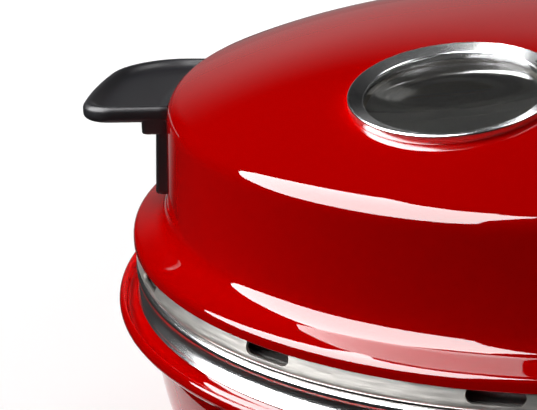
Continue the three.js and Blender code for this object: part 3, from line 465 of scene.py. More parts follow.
def speckle_group():
    """Pores, flecks and scorched patches of a fired stone."""
    tree, given, end, place = finish_group(STONE, (
        ("Fleck", "Color", (0.3, 0.2, 0.12, 1)), ("Fleck Scale", "Float", 520.0), ("Pores", "Float", 1.0)))
    broad = noise(tree, place, 14.0, 5.0)
    flecks = noise(tree, place, given["Fleck Scale"], 2.0)
    mask = maths(tree, "MULTIPLY", maths(tree, "SUBTRACT", flecks, 0.6), 6.0)
    mask.node.use_clamp = True
    toned = shaded(tree, given["Colour"], spread(tree, broad, 1.0, given["Shade Spread"]))
    mix = add_node(tree, "ShaderNodeMix", {"Factor": mask, "A": toned, "B": given["Fleck"]}, data_type="RGBA").node
    rough = spread(tree, flecks, given["Roughness"], given["Roughness Spread"])
    height = maths(tree, "MULTIPLY", maths(tree, "SUBTRACT", broad, mask), given["Pores"])
    return fill(tree, end, mix.outputs["Result"], rough, height)


def shared_group(name):
    """The node group of that name, built on its first use."""
    makers = {"Ring of Copies": ring_tree, "Row of Copies": row_tree, "Bent Tube": tube_tree,
              EVEN: even_group, TURNED: turned_group, STONE: speckle_group}
    return bpy.data.node_groups.get(name) or makers[name]()


# Finishes


def make_material(slot, group_name, basics, more, relief, plain):
    """A material whose colour, roughness and height come from a shared group; plain holds the shader's own sockets."""
    material = bpy.data.materials.new(slot.replace("_", " ").capitalize())
    material.use_nodes = True
    tree = material.node_tree
    surface = tree.nodes["Principled BSDF"]
    for socket, value in plain.items():
        surface.inputs[socket].default_value = value
    node = tree.nodes.new("ShaderNodeGroup")
    node.node_tree = shared_group(group_name)
    names = ("Colour", "Shade Spread", "Roughness", "Roughness Spread")
    for socket, value in (*zip(names, basics), *more.items()):
        node.inputs[socket].default_value = value
    tree.links.new(node.outputs["Colour"], surface.inputs["Base Color"])
    tree.links.new(node.outputs["Roughness"], surface.inputs["Roughness"])
    if relief:
        bump = add_node(tree, "ShaderNodeBump", {
            "Strength": 1.0, "Distance": relief * MICRON, "Height": node.outputs["Height"]})
        tree.links.new(bump, surface.inputs["Normal"])
    material.diffuse_color = surface.inputs["Base Color"].default_value
    return material


def finish_rows(looks):
    """Every finish by its slot: group; colour, shade spread, roughness and its spread; more inputs of the group;
    depth of the relief in micrometres; the shader's own sockets."""
    red, steel, black = ((*colour, 1.0) for colour in (looks.enamel_colour, looks.steel_colour, looks.plastic_colour))
    metal, dim, lens = {"Metallic": 1.0}, {"Specular IOR Level": 0.3}, {"Coat Weight": 0.6}
    enamel = {"Coat Weight": 1.0, "Coat Roughness": 0.02, "Coat IOR": 1.5, "Specular IOR Level": 0.0}
    brushed = {**metal, "Anisotropic": 0.35, "Anisotropic Rotation": 0.25}
    return {
        "red_enamel": (EVEN, (red, 0.03, 0.3, 0.05), {"Grain Scale": 240.0}, 4, enamel),
        "polished_steel": (TURNED, (steel, 0.03, 0.09, 0.03), {"Line Scale": 900.0}, 1.5, metal),
        "satin_steel": (TURNED, (steel, 0.05, 0.19, 0.04), {"Line Scale": 1200.0}, 2, metal),
        "rim_steel": (TURNED, (steel, 0.05, 0.165, 0.02), {"Line Scale": 1000.0}, 2, metal),
        "brushed_steel": (TURNED, ((0.56, 0.54, 0.51, 1), 0.3, 0.36, 0.12), {"Line Scale": 1300.0}, 6, brushed),
        "dull_steel": (TURNED, ((0.4, 0.39, 0.38, 1), 0.12, 0.42, 0.1), {"Line Scale": 500.0}, 5, metal),
        "element_steel": (EVEN, ((0.12, 0.105, 0.095, 1), 0.3, 0.5, 0.12), {"Broad Scale": 90.0}, 10, {
            "Metallic": 0.85}),
        "black_plastic": (EVEN, (black, 0.06, 0.34, 0.05), {"Grain Scale": 1900.0}, 10, dim),
        "black_gloss": (EVEN, ((0.012, 0.012, 0.014, 1), 0.05, 0.18, 0.04), {"Grain Scale": 700.0}, 4, {
            "Coat Weight": 0.4, "Coat Roughness": 0.05}),
        "rubber": (EVEN, ((0.018, 0.018, 0.018, 1), 0.15, 0.8, 0.08), {}, 30, dim),
        "gasket": (EVEN, ((0.25, 0.22, 0.19, 1), 0.1, 0.75, 0.06), {}, 20, {}),
        "cordierite": (STONE, ((0.58, 0.43, 0.27, 1), 0.14, 0.9, 0.06), {}, 120, {"Specular IOR Level": 0.25}),
        "ceramic": (EVEN, ((0.79, 0.74, 0.64, 1), 0.05, 0.25, 0.05), {}, 10, {}),
        "red_lens": (EVEN, ((0.55, 0.01, 0.01, 1), 0.1, 0.12, 0.04), {}, 4, lens),
        "green_lens": (EVEN, ((0.02, 0.35, 0.06, 1), 0.1, 0.12, 0.04), {}, 4, lens),
        "print": (EVEN, ((0.8, 0.8, 0.8, 1), 0.04, 0.5, 0.05), {}, 0, {}),
        "window_glass": (EVEN, ((0.6, 0.6, 0.58, 1), 0.02, 0.06, 0.02), {"Grain Scale": 60.0}, 2, {
            "Transmission Weight": 0.97, "IOR": 1.5}),
    }


FINISHES = {}


def finish(name):
    """A finish by its slot name; all are made on the first call."""
    if not FINISHES:
        rows = finish_rows(bpy.context.scene.oven_looks)
        FINISHES.update((slot, make_material(slot, *row)) for slot, row in rows.items())
    return FINISHES[name]


# Sizes and colours that a user would change


def length(label, text, default, low, high):
    """A length, given in millimetres."""
    return FloatProperty(name=label, description=text, default=default * MM, min=low * MM, max=high * MM,
                         unit="LENGTH", precision=4)


def angle(label, text, default, low, high):
    """An angle, given in degrees."""
    return FloatProperty(name=label, description=text, default=math.radians(default), min=math.radians(low),
                         max=math.radians(high), subtype="ANGLE")


def number(label, text, default, low, high, unit="NONE"):
    """A plain number, whole where its default is."""
    if isinstance(default, int):
        return IntProperty(name=label, description=text, default=default, min=low, max=high)
    return FloatProperty(name=label, description=text, default=default, min=low, max=high, unit=unit)


def colour(label, text, default):
    return FloatVectorProperty(name=label, description=text, subtype="COLOR", size=3, default=default, min=0, max=1)


def sizes(key):
    """The values of one of the scene's groups: lengths in millimetres, angles in radians."""
    group = getattr(bpy.context.scene, key)
    values = {}
    for name in group.__annotations__:
        value = getattr(group, name)
        values[name] = value / MM if group.bl_rna.properties[name].unit == "LENGTH" else value
    return SimpleNamespace(**values)


class OvenLooks(bpy.types.PropertyGroup):
    """Colours of the finishes that a user would change."""
    enamel_colour: colour("Enamel", "Red enamel of the lid and the base", (0.5, 0.0, 0.0))
    steel_colour: colour("Polished steel", "Trim ring and window ring", (0.8, 0.8, 0.81))
    plastic_colour: colour("Black plastic", "Grips, control pod and hinge", (0.015, 0.015, 0.018))


class OvenLid(bpy.types.PropertyGroup):
    """Sizes of the lid."""
    rim_radius: length("Rim radius", "Outer radius of the lid's lower edge", 170.0, 160, 180)
    wall_foot_radius: length("Wall foot radius", "Wall radius just over the flange", 155.65, 150, 160)
    wall_radius: length("Wall radius", "Wall radius at the top", 154.7, 150, 160)
    wall_height: length("Wall height", "Height of the straight wall's top", 48.1, 40, 60)
    dome_foot: length("Dome foot", "Height where the crown starts", 57.45, 50, 65)
    dome_radius: length("Dome radius", "Radius where the crown starts", 148.4, 140, 154)
    crown: length("Crown", "Rise of the crown to its top", 25.5, 5, 40)
    crown_power: number("Crown power", "How flat the crown's middle is", 2.57, 2, 4)
    sheet: length("Sheet", "Thickness of the shell", 1.4, 0.8, 3)
    slots: number("Slots", "Vent slots round the steel band", 12, 4, 20)
    first_slot: angle("First slot", "Angle of the first slot from the front", 19.6, 0, 90)
    slot_length: length("Slot length", "Length of a vent slot", 20.7, 8, 40)
    slot_height: length("Slot height", "Height of a vent slot", 5.6, 3, 7)


class OvenWindow(bpy.types.PropertyGroup):
    """Sizes of the round window."""
    offset: length("Offset", "Distance of the window in front of the lid's axis", 83.8, 60, 100)
    outer_radius: length("Ring radius", "Outer radius of the polished ring", 39.1, 30, 45)
    inner_radius: length("Sight radius", "Radius of the visible glass", 33.3, 25, 38)
    height: length("Ring height", "Ring's edge above the dome's tangent plane", 1.0, 0.5, 4)


class OvenGrips(bpy.types.PropertyGroup):
    """Sizes of the side grips."""
    angle: angle("Angle", "Angle of a grip from the front", 72.3, 45, 90)
    half_angle: angle("Half width", "Half of a grip's width, as an angle", 14.0, 8, 18)
    rear_taper: angle("Rear taper", "How far the rear side leans in at the tip", 4.7, 0, 10)
    tip_radius: length("Tip radius", "Radius of a grip's outer edge", 190.4, 180, 200)
    top: length("Top", "Height of a grip's top over the lid's edge", 50.5, 40, 55)
    plate: length("Plate", "Thickness of a grip's plate", 6.6, 4, 10)


class OvenBase(bpy.types.PropertyGroup):
    """Sizes of the base."""
    ledge_radius: length("Ledge radius", "Outer radius of the bowl's rim", LEDGE_RADIUS, 170, 185)
    ledge_height: length("Ledge height", "Height of the ledge over the table", 95.8, 80, 100)
    bowl_bottom: length("Bowl bottom", "Height of the bowl's underside", 14.0, 8, 25)
    stone_radius: length("Stone radius", "Radius of the baking stone", STONE_RADIUS, 140, 154)
    lower_element_radius: length("Lower element", "Radius of the lower element", 108.0, 80, 130)
    upper_element_radius: length("Upper element", "Radius of the upper element", 126.0, 80, 132)


class OvenControls(bpy.types.PropertyGroup):
    """Sizes of the control pod."""
    half_width: length("Half width", "Half width of the pod", 74.0, 50, 90)
    front: length("Front", "Distance of the pod's face from the axis", POD_FRONT, 170, 190)
    knob_ribs: number("Knob ribs", "Ribs round a knob", 30, 12, 48)


class OvenStage(bpy.types.PropertyGroup):
    """Camera and light."""
    focal_length: number("Focal length", "Lens, in millimetres on a 36 mm sensor", 140.58, 50, 300, "CAMERA")
    world_level: number("World level", "Brightness of the surrounding light", 0.2, 0, 2)
    softbox_level: number("Softbox level", "Brightness of the mirrored softboxes", 17.0, 0, 60)
    room_level: number("Room level", "Brightness of the room's rear in reflections", 0.26, 0, 2)


# Lid


def dome_z(lid, r):
    """Height of the crown at a radius, over the lid's edge."""
    return lid.dome_foot + lid.crown * (1 - (np.asarray(r, float) / lid.dome_radius) ** lid.crown_power)


def dome_slope(lid, r):
    return lid.crown * lid.crown_power * (r / lid.dome_radius) ** (lid.crown_power - 1) / lid.dome_radius


def lid_outline(lid):
    """The shell's outer line from its lower edge to the top of the crown."""
    rim, foot, wall, wall_top = lid.rim_radius, lid.wall_foot_radius, lid.wall_radius, lid.wall_height
    lip, flange, fillet_top = (rim - 2.2, 5.4), (foot + 5.6, 8.15), (foot, 15.2)
    shoulder_r, reach = wall - 5.1, 2.8
    shoulder = (shoulder_r, float(dome_z(lid, shoulder_r)))
    before_shoulder = (shoulder_r + reach, shoulder[1] - reach * dome_slope(lid, shoulder_r))
    radii = shoulder_r * np.linspace(1, 0, 46)[1:]
    return chain(
        (rim - 0.35, 0), (rim - 0.1, 0.1), (rim, 0.35), ((rim, 2.2), 2), ((rim, 4.0), (rim - 0.8, 4.8), lip, 10),
        (flange, 4), ((foot + 2.6, 9.4), (foot + 0.4, 11.4), fillet_top, 14), ((wall, wall_top), 12),
        ((wall - 0.1, wall_top + 5.0), before_shoulder, shoulder, 16), np.stack([radii, dome_z(lid, radii)], 1))


def window_matrix(lid, window):
    """The window's frame: its middle on the crown, its axis along the crown's normal there."""
    tilt = math.atan(dome_slope(lid, window.offset))
    return shift(0, -window.offset, float(dome_z(lid, window.offset))) @ Matrix.Rotation(tilt, 4, "X")


class OVEN_OT_lid_shell(bpy.types.Operator):
    """Domed enamelled shell with its window hole"""
    bl_idname = "oven.lid_shell"
    bl_label = "Lid Shell"

    def execute(self, context):
        lid, window = sizes("oven_lid"), sizes("oven_window")
        hole = placed(rod(window.outer_radius - 2.3, -30, 20), window_matrix(lid, window))
        shell = turned(sheet_outline(lid_outline(lid), lid.sheet))
        add_piece("domed_lid", shell, "lid", "red_enamel", ("lid_shell",), cuts=(hole,))
        return {"FINISHED"}


class OVEN_OT_slotted_band(bpy.types.Operator):
    """Brushed steel band with its vent slots"""
    bl_idname = "oven.slotted_band"
    bl_label = "Slotted Band"

    def execute(self, context):
        lid = sizes("oven_lid")
        foot, knee, top, curl, flange = (169.3, -8.4), (168.0, 0), (167.6, 3.4), 1.9, 5.4
        r, z = foot
        path = chain((r - flange, z), ((r - curl, z), 2), arc(r - curl, z + curl, curl, curl, -90, 0, 9)[1:],
                     (knee, 6), (top, 2))
        radius, slot_z, inside, outside = lid.slot_height / 2, -2.6, 160.0, 175.0
        half = lid.slot_length / 2 - radius
        section = np.vstack([arc(half, 0, radius, radius, -90, 90, 14), arc(-half, 0, radius, radius, 90, 270, 14)])
        slot = lofted([[(x, -y, z + slot_z) for x, z in section] for y in (inside, outside)])
        slots = mesh_object("slots", slot, "lid")
        ring_of(lid.slots, "brushed_steel", first=lid.first_slot)(slots)
        add_piece("vent_band", turned(sheet_outline(path)), "lid", "brushed_steel", ("slotted_band",), cuts=(slots,))
        return {"FINISHED"}


def end_holes(radius, low, high):
    """Cutters where an element's two ends pass through its sheet, beside the rear."""
    x, y = radius * math.sin(math.radians(ELEMENT_GAP)), radius * math.cos(math.radians(ELEMENT_GAP))
    return tuple(placed(rod(4.4, low, high, steps=24), shift(side * x, y, 0)) for side in (-1, 1))


class OVEN_OT_lid_reflector(bpy.types.Operator):
    """Sheet liner of the lid, which throws the heat down"""
    bl_idname = "oven.lid_reflector"
    bl_label = "Lid Reflector"

    def execute(self, context):
        lid, window = sizes("oven_lid"), sizes("oven_window")
        edge, seat, wall, roof = (159.4, -7.3), (157.2, -5.8), (150.8, 6.4), (142, 49)
        rise = np.linspace(1, 0, 30)[1:]
        path = chain((162.4, edge[1]), (edge, 2), ((158.2, -7.3), (157.6, -6.6), seat, 5), ((151.4, 3.4), 3),
                     ((150.9, 4.4), (150.9, 5.2), wall, 5), ((148.2, 38), 5), ((147.8, 44), (146.8, 48.4), roof, 12),
                     np.stack([roof[0] * rise, roof[1] + 14 * (1 - rise ** 2)], 1))
        hole = placed(rod(window.outer_radius - 2.2, -40, 20), window_matrix(lid, window))
        add_piece("heat_reflector", turned(sheet_outline(path)), "lid", "dull_steel", ("lid_reflector",),
                  cuts=(hole, *end_holes(sizes("oven_base").upper_element_radius, 30, 90)))
        return {"FINISHED"}


class OVEN_OT_window(bpy.types.Operator):
    """Polished window ring seated on the crown, with its glass, gasket, clamp nut and funnel"""
    bl_idname = "oven.window"
    bl_label = "Window"

    def execute(self, context):
        lid, window = sizes("oven_lid"), sizes("oven_window")
        place = window_matrix(lid, window)

        def add(name, part, slot, node, look=None):
            add_piece(name, placed(part, place), "lid", slot, (node,), look=look)
        add("sight_ring", self.ring(lid, window, place), "polished_steel", "window_ring", "satin_steel")
        glass_top = window.height - 4.3
        add("sight_glass", rod(34.6, glass_top - 2.7, glass_top, 0.5, 128), "window_glass", "window_glass")
        gasket = [(32.0, -7.3), (34.3, -7.3), (34.6, -7.0), (34.6, -6.6), (34.3, -6.3), (32.0, -6.3), (31.8, -6.8)]
        add("sight_gasket", turned(gasket, steps=96), "gasket", "window_gasket")
        nut = [(32.2, -9.6), (41.2, -9.6), (41.5, -9.3), (41.5, -7.9), (41.2, -7.6), (32.2, -7.6), (32.0, -8.0),
               (32.0, -9.2)]
        add("clamp_nut", turned(nut, steps=96), "dull_steel", "window_nut")
        funnel = [(34.9, -19.0), (35.2, -19.3), (35.8, -19.3), (36.0, -19.0), (36.0, -9.9), (34.9, -9.9)]
        add("sight_funnel", turned(funnel, steps=96), "dull_steel", "window_funnel")
        return {"FINISHED"}

    def ring(self, lid, window, place):
        """The ring, whose underside follows the crown."""
        steps, bore, thread, play = 160, 34.9, 36.4, 0.05
        angles = np.linspace(0, 2 * math.pi, steps, endpoint=False)

        def seat(radius):
            """Local heights of the crown under a circle of the ring."""
            height = np.zeros(steps)
            for _ in range(12):
                local = np.stack([radius * np.cos(angles), radius * np.sin(angles), height, np.ones(steps)])
                world = np.array(place) @ local
                height -= (world[2] - dome_z(lid, np.hypot(world[0], world[1]))) / place[2][2]
            return height

        outer, inner, top = window.outer_radius, window.inner_radius, window.height
        low, base, rounding = top - 1.7, -7.0, 0.7
        rows = [(bore, base), (thread, base), (thread, seat(thread) + play), (outer - 0.1, seat(outer - 0.1) + play),
                (outer, seat(outer) + 0.3)]
        rows += [(r, z) for r, z in arc(outer - rounding, top - rounding, rounding, rounding, 0, 78, 5)]
        rows += [(inner + 0.5, low + 0.12), (inner + 0.18, low), (inner, low - 0.25), (inner - 0.05, low - 1.2),
                 (inner, low - 2.3), (bore, low - 2.3), (bore, base)]
        return lofted([[(r * math.cos(a), r * math.sin(a), h) for a, h in zip(angles, np.broadcast_to(z, steps))]
                       for r, z in rows], capped=False)


def sector(inner, outer, half, corners, taper=0.0, inner_corner=0.6, arc_steps=26, corner_steps=10):
    """A closed plan outline between two radii about the front, with rounded corners and a rear side that leans in."""
    front_corner, rear_corner = corners

    def at(r, a):
        return (r * math.sin(a), -r * math.cos(a))

    def rear(r):
        return -half + taper * (r - inner) / (outer - inner)
    front_turn, small, part = front_corner / outer, inner_corner / inner, 0.3
    points = [at(outer, a) for a in np.linspace(rear(outer) + rear_corner / outer, half - front_turn, arc_steps)]
    quarter = np.linspace(0, math.pi / 2, corner_steps + 1)
    for t in quarter[1:]:
        points.append(at(outer - front_corner * (1 - math.cos(t)), half - front_turn * (1 - math.sin(t))))
    points.extend(at(r, half) for r in np.linspace(outer - front_corner, inner + inner_corner, 9)[1:])
    points.append(at(inner + part * inner_corner, half - part * small))
    points.extend(at(inner, a) for a in np.linspace(half - small, -half + small, arc_steps))
    points.append(at(inner + part * inner_corner, -half + part * small))
    points.extend(at(r, rear(r)) for r in np.linspace(inner + inner_corner, outer - rear_corner, 9)[:-1])
    for t in quarter[:-1]:
        r = outer - rear_corner * (1 - math.sin(t))
        points.append(at(r, rear(r) + rear_corner / outer * (1 - math.cos(t))))
    return points


class OVEN_OT_grips(bpy.types.Operator):
    """Black side grips, each a dished plate on a leg along the lid's wall"""
    bl_idname = "oven.grips"
    bl_label = "Side Grips"

    def execute(self, context):
        lid, grip = sizes("oven_lid"), sizes("oven_grips")
        for side, name in ((-1, "left"), (1, "right")):
            stand = Matrix.Rotation(side * grip.angle, 4, "Z") @ Matrix.Diagonal((-side, 1, 1, 1))
            plate, leg, block = (placed(part, stand) for part in self.parts(lid, grip))
            add_piece(f"{name}_side_grip", plate, "lid", "black_plastic", (f"{name}_grip",), sharp=50,
                      unions=(leg, block))
        return {"FINISHED"}

    def parts(self, lid, grip):
        """Plate, leg and shoulder block about the front, before they are turned to their side."""
        half, play, low_edge, high_edge = grip.half_angle, 0.12, 2.2, 2.6
        top, low, tip, wall = grip.top, grip.top - grip.plate, grip.tip_radius, lid.wall_radius + play

        def ring(inset, z, inner=0.0):
            corners = (max(12.0 - inset, 2.0), max(22.0 - 0.8 * inset, 4.0))
            plan = sector(wall + inner, tip - inset, half - inset / tip, corners, grip.rear_taper)
            return [(x, y, z) for x, y in plan]
        loops = [ring(9, low), ring(low_edge, low)]
        loops += [ring(low_edge * (1 - math.sin(a)), low + low_edge * (1 - math.cos(a)))
                  for a in np.radians([18, 36, 54, 72, 90])]
        loops += [ring(high_edge * (1 - math.cos(a)), top - high_edge * (1 - math.sin(a)))
                  for a in np.radians([12, 26, 40, 54, 66, 78, 90])]
        # Each row of the dish: how far in from the edge, how deep, how far out from the wall.
        loops += [ring(inset, top - deep, inner) for inset, deep, inner in (
            (3.4, 0.06, 0.2), (4.2, 0.32, 0.6), (5.0, 0.85, 1.0), (5.8, 1.5, 1.5), (6.8, 2.1, 2.1), (8.2, 2.55, 3.0),
            (10.5, 2.8, 4.2), (13.5, 2.9, 5.6))]
        outline = lid_outline(lid)[:60]
        foot, corners, legs, blocks = 13.0, (1.6, 1.6), [], []
        for z, ease_in in ((foot, 1.2), (13.3, 0.5), (14.0, 0.1), (15.2, 0), (17.0, 0), (20.0, 0), (28.0, 0), (36.0, 0),
                           (low + 1.6, 0)):
            near = np.interp(z, outline[:, 1], outline[:, 0]) + play
            outer = 161.1 - 1.6 * (z - foot) / (top - foot) - ease_in
            legs.append([(x, y, z) for x, y in sector(near, outer, half - 0.004 - ease_in / outer, corners, 0.0, 0.3)])
        for z, inset in ((low - 5.1, 1.0), (low - 4.8, 0.35), (low - 4.1, 0.0), (low + 1.4, 0.0)):
            plan = sector(wall + 1.0, 165.6 - inset, half - 0.002 - inset / 166, corners, 0.0, 0.3)
            blocks.append([(x, y, z) for x, y in plan])
        return lofted(loops), lofted(legs), lofted(blocks)


# Base


def bowl_radius(z):
    """Outer radius of the bowl's wall at a height over the table."""
    return float(np.interp(z, (14, 22, 30, 38.5, 54, 64, 81.6), (134, 147.2, 151.6, 155.0, 159.7, 161.8, 164.2)))


class OVEN_OT_base_bowl(bpy.types.Operator):
    """Red enamelled bowl with its rolled ledge"""
    bl_idname = "oven.base_bowl"
    bl_label = "Base Bowl"

    def execute(self, context):
        base = sizes("oven_base")
        bottom, ledge, rim, sheet = base.bowl_bottom, base.ledge_height, base.ledge_radius, 1.5
        shoulder = (167.0, 87.4)
        wall = chain(
            (118.0, bottom), ((134.0, bottom), 4), ((145.0, bottom), (150.5, 22.0), (155.0, 38.5), 18),
            ((157.8, 46.6), (160.2, 54.0), (161.8, 64.0), 8), ((163.0, 71.0), (163.8, 76.5), (164.2, 81.6), 8),
            ((164.5, 84.6), (165.3, 86.6), shoulder, 6))
        flange = chain(
            shoulder, ((rim - 3.4, ledge - 6.5), 3),
            ((rim - 1.2, ledge - 6.0), (rim, ledge - 4.4), (rim, ledge - 2.7), 10),
            ((rim, ledge - 1.0), (rim - 0.7, ledge + 0.1), (rim - 1.7, ledge + 0.1), 10),
            ((rim - 2.8, ledge + 0.1), (rim - 2.6, ledge - 3.4), (rim - 3.6, ledge - 4.1), 10),
            ((rim - 5.0, ledge - 4.8), (170.6, ledge - 4.2), (169.4, ledge - 2.4), 8),
            ((168.8, ledge - 1.2), (168.6, ledge), (167.4, ledge), 5), ((164.0, ledge), 3),
            (163.2, ledge - 0.2), (163.0, ledge - 0.8))[1:]
        part = turned(np.vstack([wall, flange, beside(wall[:-5], sheet)[::-1]]))
        gland = placed(rod(7.4, -180, -128), shift(GLAND_X, 0, GLAND_Z) @ turn(90, "X"))
        add_piece("enamel_bowl", part, "base", "red_enamel", ("base_bowl",),
                  cuts=(box_part((-56, -175, 32), (56, -120, 60)), gland))
        return {"FINISHED"}


class OVEN_OT_rim_ring(bpy.types.Operator):
    """Polished trim ring between the bowl and the lid"""
    bl_idname = "oven.rim_ring"
    bl_label = "Rim Ring"

    def execute(self, context):
        low = sizes("oven_base").ledge_height + 0.15
        neck, bore, inside = (166.4, EDGE_Z - 15.4), 160.5, 163.6
        r, z = BEAD
        part = turned(chain(
            (bore, low), (168.9, low), (169.2, low + 0.15), (169.3, low + 0.5), ((168.6, low + 1.5), 2),
            (168.75, low + 1.9), ((167.5, low + 3.2), (166.5, low + 4.6), neck, 12),
            ((166.35, neck[1] + 0.9), (166.3, neck[1] + 1.6), (r - 0.7, z - 2.05), 6),
            arc(r, z, BEAD_RADIUS, BEAD_RADIUS, -105, 180, 30)[1:],
            (inside, z - 1.2), (inside, z - BEAD_DROP), (bore, z - BEAD_DROP)))
        add_piece("polished_rim", part, "base", "polished_steel", ("rim_ring",), look="rim_steel")
        return {"FINISHED"}


class OVEN_OT_heat_pan(bpy.types.Operator):
    """Pan inside the base that holds the lower element and the stone"""
    bl_idname = "oven.heat_pan"
    bl_label = "Heat Pan"

    def execute(self, context):
        lip, floor, rib = BEAD[1] - BEAD_DROP + 0.3, 64, 65.2
        path = chain(
            (0, floor), ((52, floor), 6), ((54, floor), (54, rib), (56, rib), 5), ((82, rib), 3),
            ((84, rib), (84, floor), (86, floor), 5), ((144, floor), 4), ((148.5, floor), (150.6, 66), (151.0, 70), 8),
            ((157.4, lip - 1.0), 6), ((157.6, lip - 0.3), (158, lip), (158.6, lip), 4), ((163.2, lip), 2))
        add_piece("element_pan", turned(sheet_outline(path)), "base", "dull_steel", ("heat_pan",),
                  cuts=end_holes(sizes("oven_base").lower_element_radius, 45, 80))
        return {"FINISHED"}


class OVEN_OT_elements(bpy.types.Operator):
    """Lower and upper heating elements, bent from round tube"""
    bl_idname = "oven.elements"
    bl_label = "Heating Elements"

    def execute(self, context):
        base = sizes("oven_base")
        for kind, body, radius, end in (
                ("lower", "base", base.lower_element_radius, 47.0), ("upper", "lid", base.upper_element_radius, 60.0)):
            points = self.route(radius, ELEMENT_LEVELS[kind], end)
            piece = mesh_object(f"{kind}_heater", (points, []), body, [(i, i + 1) for i in range(len(points) - 1)])
            sheath = finish("element_steel")
            repeated("Bent Tube", {"Radius": 3.25 * MM, "Sides": 20, "Material": sheath})(piece)
            tidy(piece.data)
            finish_piece(piece, body, sheath, (f"{kind}_element",), 50)
        return {"FINISHED"}

    def route(self, radius, level, end):
        """The tube's middle line: an end, a bend, the ring, a bend, the other end."""
        bend = 9.0
        way = math.copysign(1, end - level)
        first, last, share = math.radians(90 + ELEMENT_GAP), math.radians(450 - ELEMENT_GAP), bend / radius

        def at(a, z):
            return (radius * math.cos(a), radius * math.sin(a), z)

        def corner(start, side, steps):
            return [at(start + side * share * (1 - math.cos(t)), level + way * bend * (1 - math.sin(t))) for t in steps]
        steps = np.radians(np.linspace(0, 90, 9))
        ring = [at(a, level) for a in np.linspace(first + share, last - share, 150)[1:-1]]
        return [at(first, end), *corner(first, 1, steps), *ring, *corner(last, -1, steps[::-1]), at(last, end)]


class OVEN_OT_stone(bpy.types.Operator):
    """Round baking stone"""
    bl_idname = "oven.stone"
    bl_label = "Baking Stone"

    def execute(self, context):
        r, low, high, edge = sizes("oven_base").stone_radius, 92, 104, 1.5
        outline = chain(
            (0, low), ((r - 2 * edge, low), 12), arc(r - edge, low + edge, edge, edge, -90, 0, 5),
            arc(r - edge, high - edge, edge, edge, 0, 90, 5), ((0, high), 14))
        add_piece("baking_stone", turned(outline, closed=False), "stone", "cordierite", ("pizza_stone",))
        return {"FINISHED"}


class OVEN_OT_supports(bpy.types.Operator):
    """Folded brackets that carry the stone, and the element clips"""
    bl_idname = "oven.supports"
    bl_label = "Supports and Clips"

    def execute(self, context):
        low, top, y, sheet, reach = 65.5, 91.7, -139.0, 1.5, 8.0
        side = chain(
            (y + reach, low), (y + 1.0, low), arc(y + 1.0, low + 1.0, 2.2, 1.0, 270, 180, 4)[1:-1],
            (y - 1.2, low + 1.0), (y - 1.2, top - 1.0), (y - 0.8, top - 0.3), (y, top), (y + reach, top),
            (y + reach, top - sheet), (y + 0.6, top - sheet), (y + 0.3, top - 1.8), (y + 0.3, low + 1.8),
            (y + 0.6, low + sheet), (y + reach, low + sheet))
        bracket = lofted([[(x, p, z) for p, z in side] for x in (-reach, 0.4 - reach, reach - 0.4, reach)])
        add_piece("stone_brackets", bracket, "base", "dull_steel", numbered("stone_support", 4),
                  copies=ring_of(4, "dull_steel", first=math.pi / 4))
        base = sizes("oven_base")
        for kind, body, radius, sheet_z in (
                ("lower", "base", base.lower_element_radius, 65.5), ("upper", "lid", base.upper_element_radius, 53.2)):
            level = ELEMENT_LEVELS[kind]
            loop = turned([(3.6, -2.5), (5.1, -2.5), (5.3, -2.2), (5.3, 2.2), (5.1, 2.5), (3.6, 2.5)], steps=32)
            near = level + math.copysign(4.6, sheet_z - level)
            stem = rod(2.0, min(near, sheet_z), max(near, sheet_z), 0.3, 20)
            clip = joined(placed(loop, shift(0, 0, level) @ turn(90, "Y")), stem)
            add_piece(f"{kind}_clips", placed(clip, shift(0, -radius, 0)), body, "dull_steel",
                      numbered(f"{kind}_element_clip", 3), copies=ring_of(3, "dull_steel"))
        return {"FINISHED"}


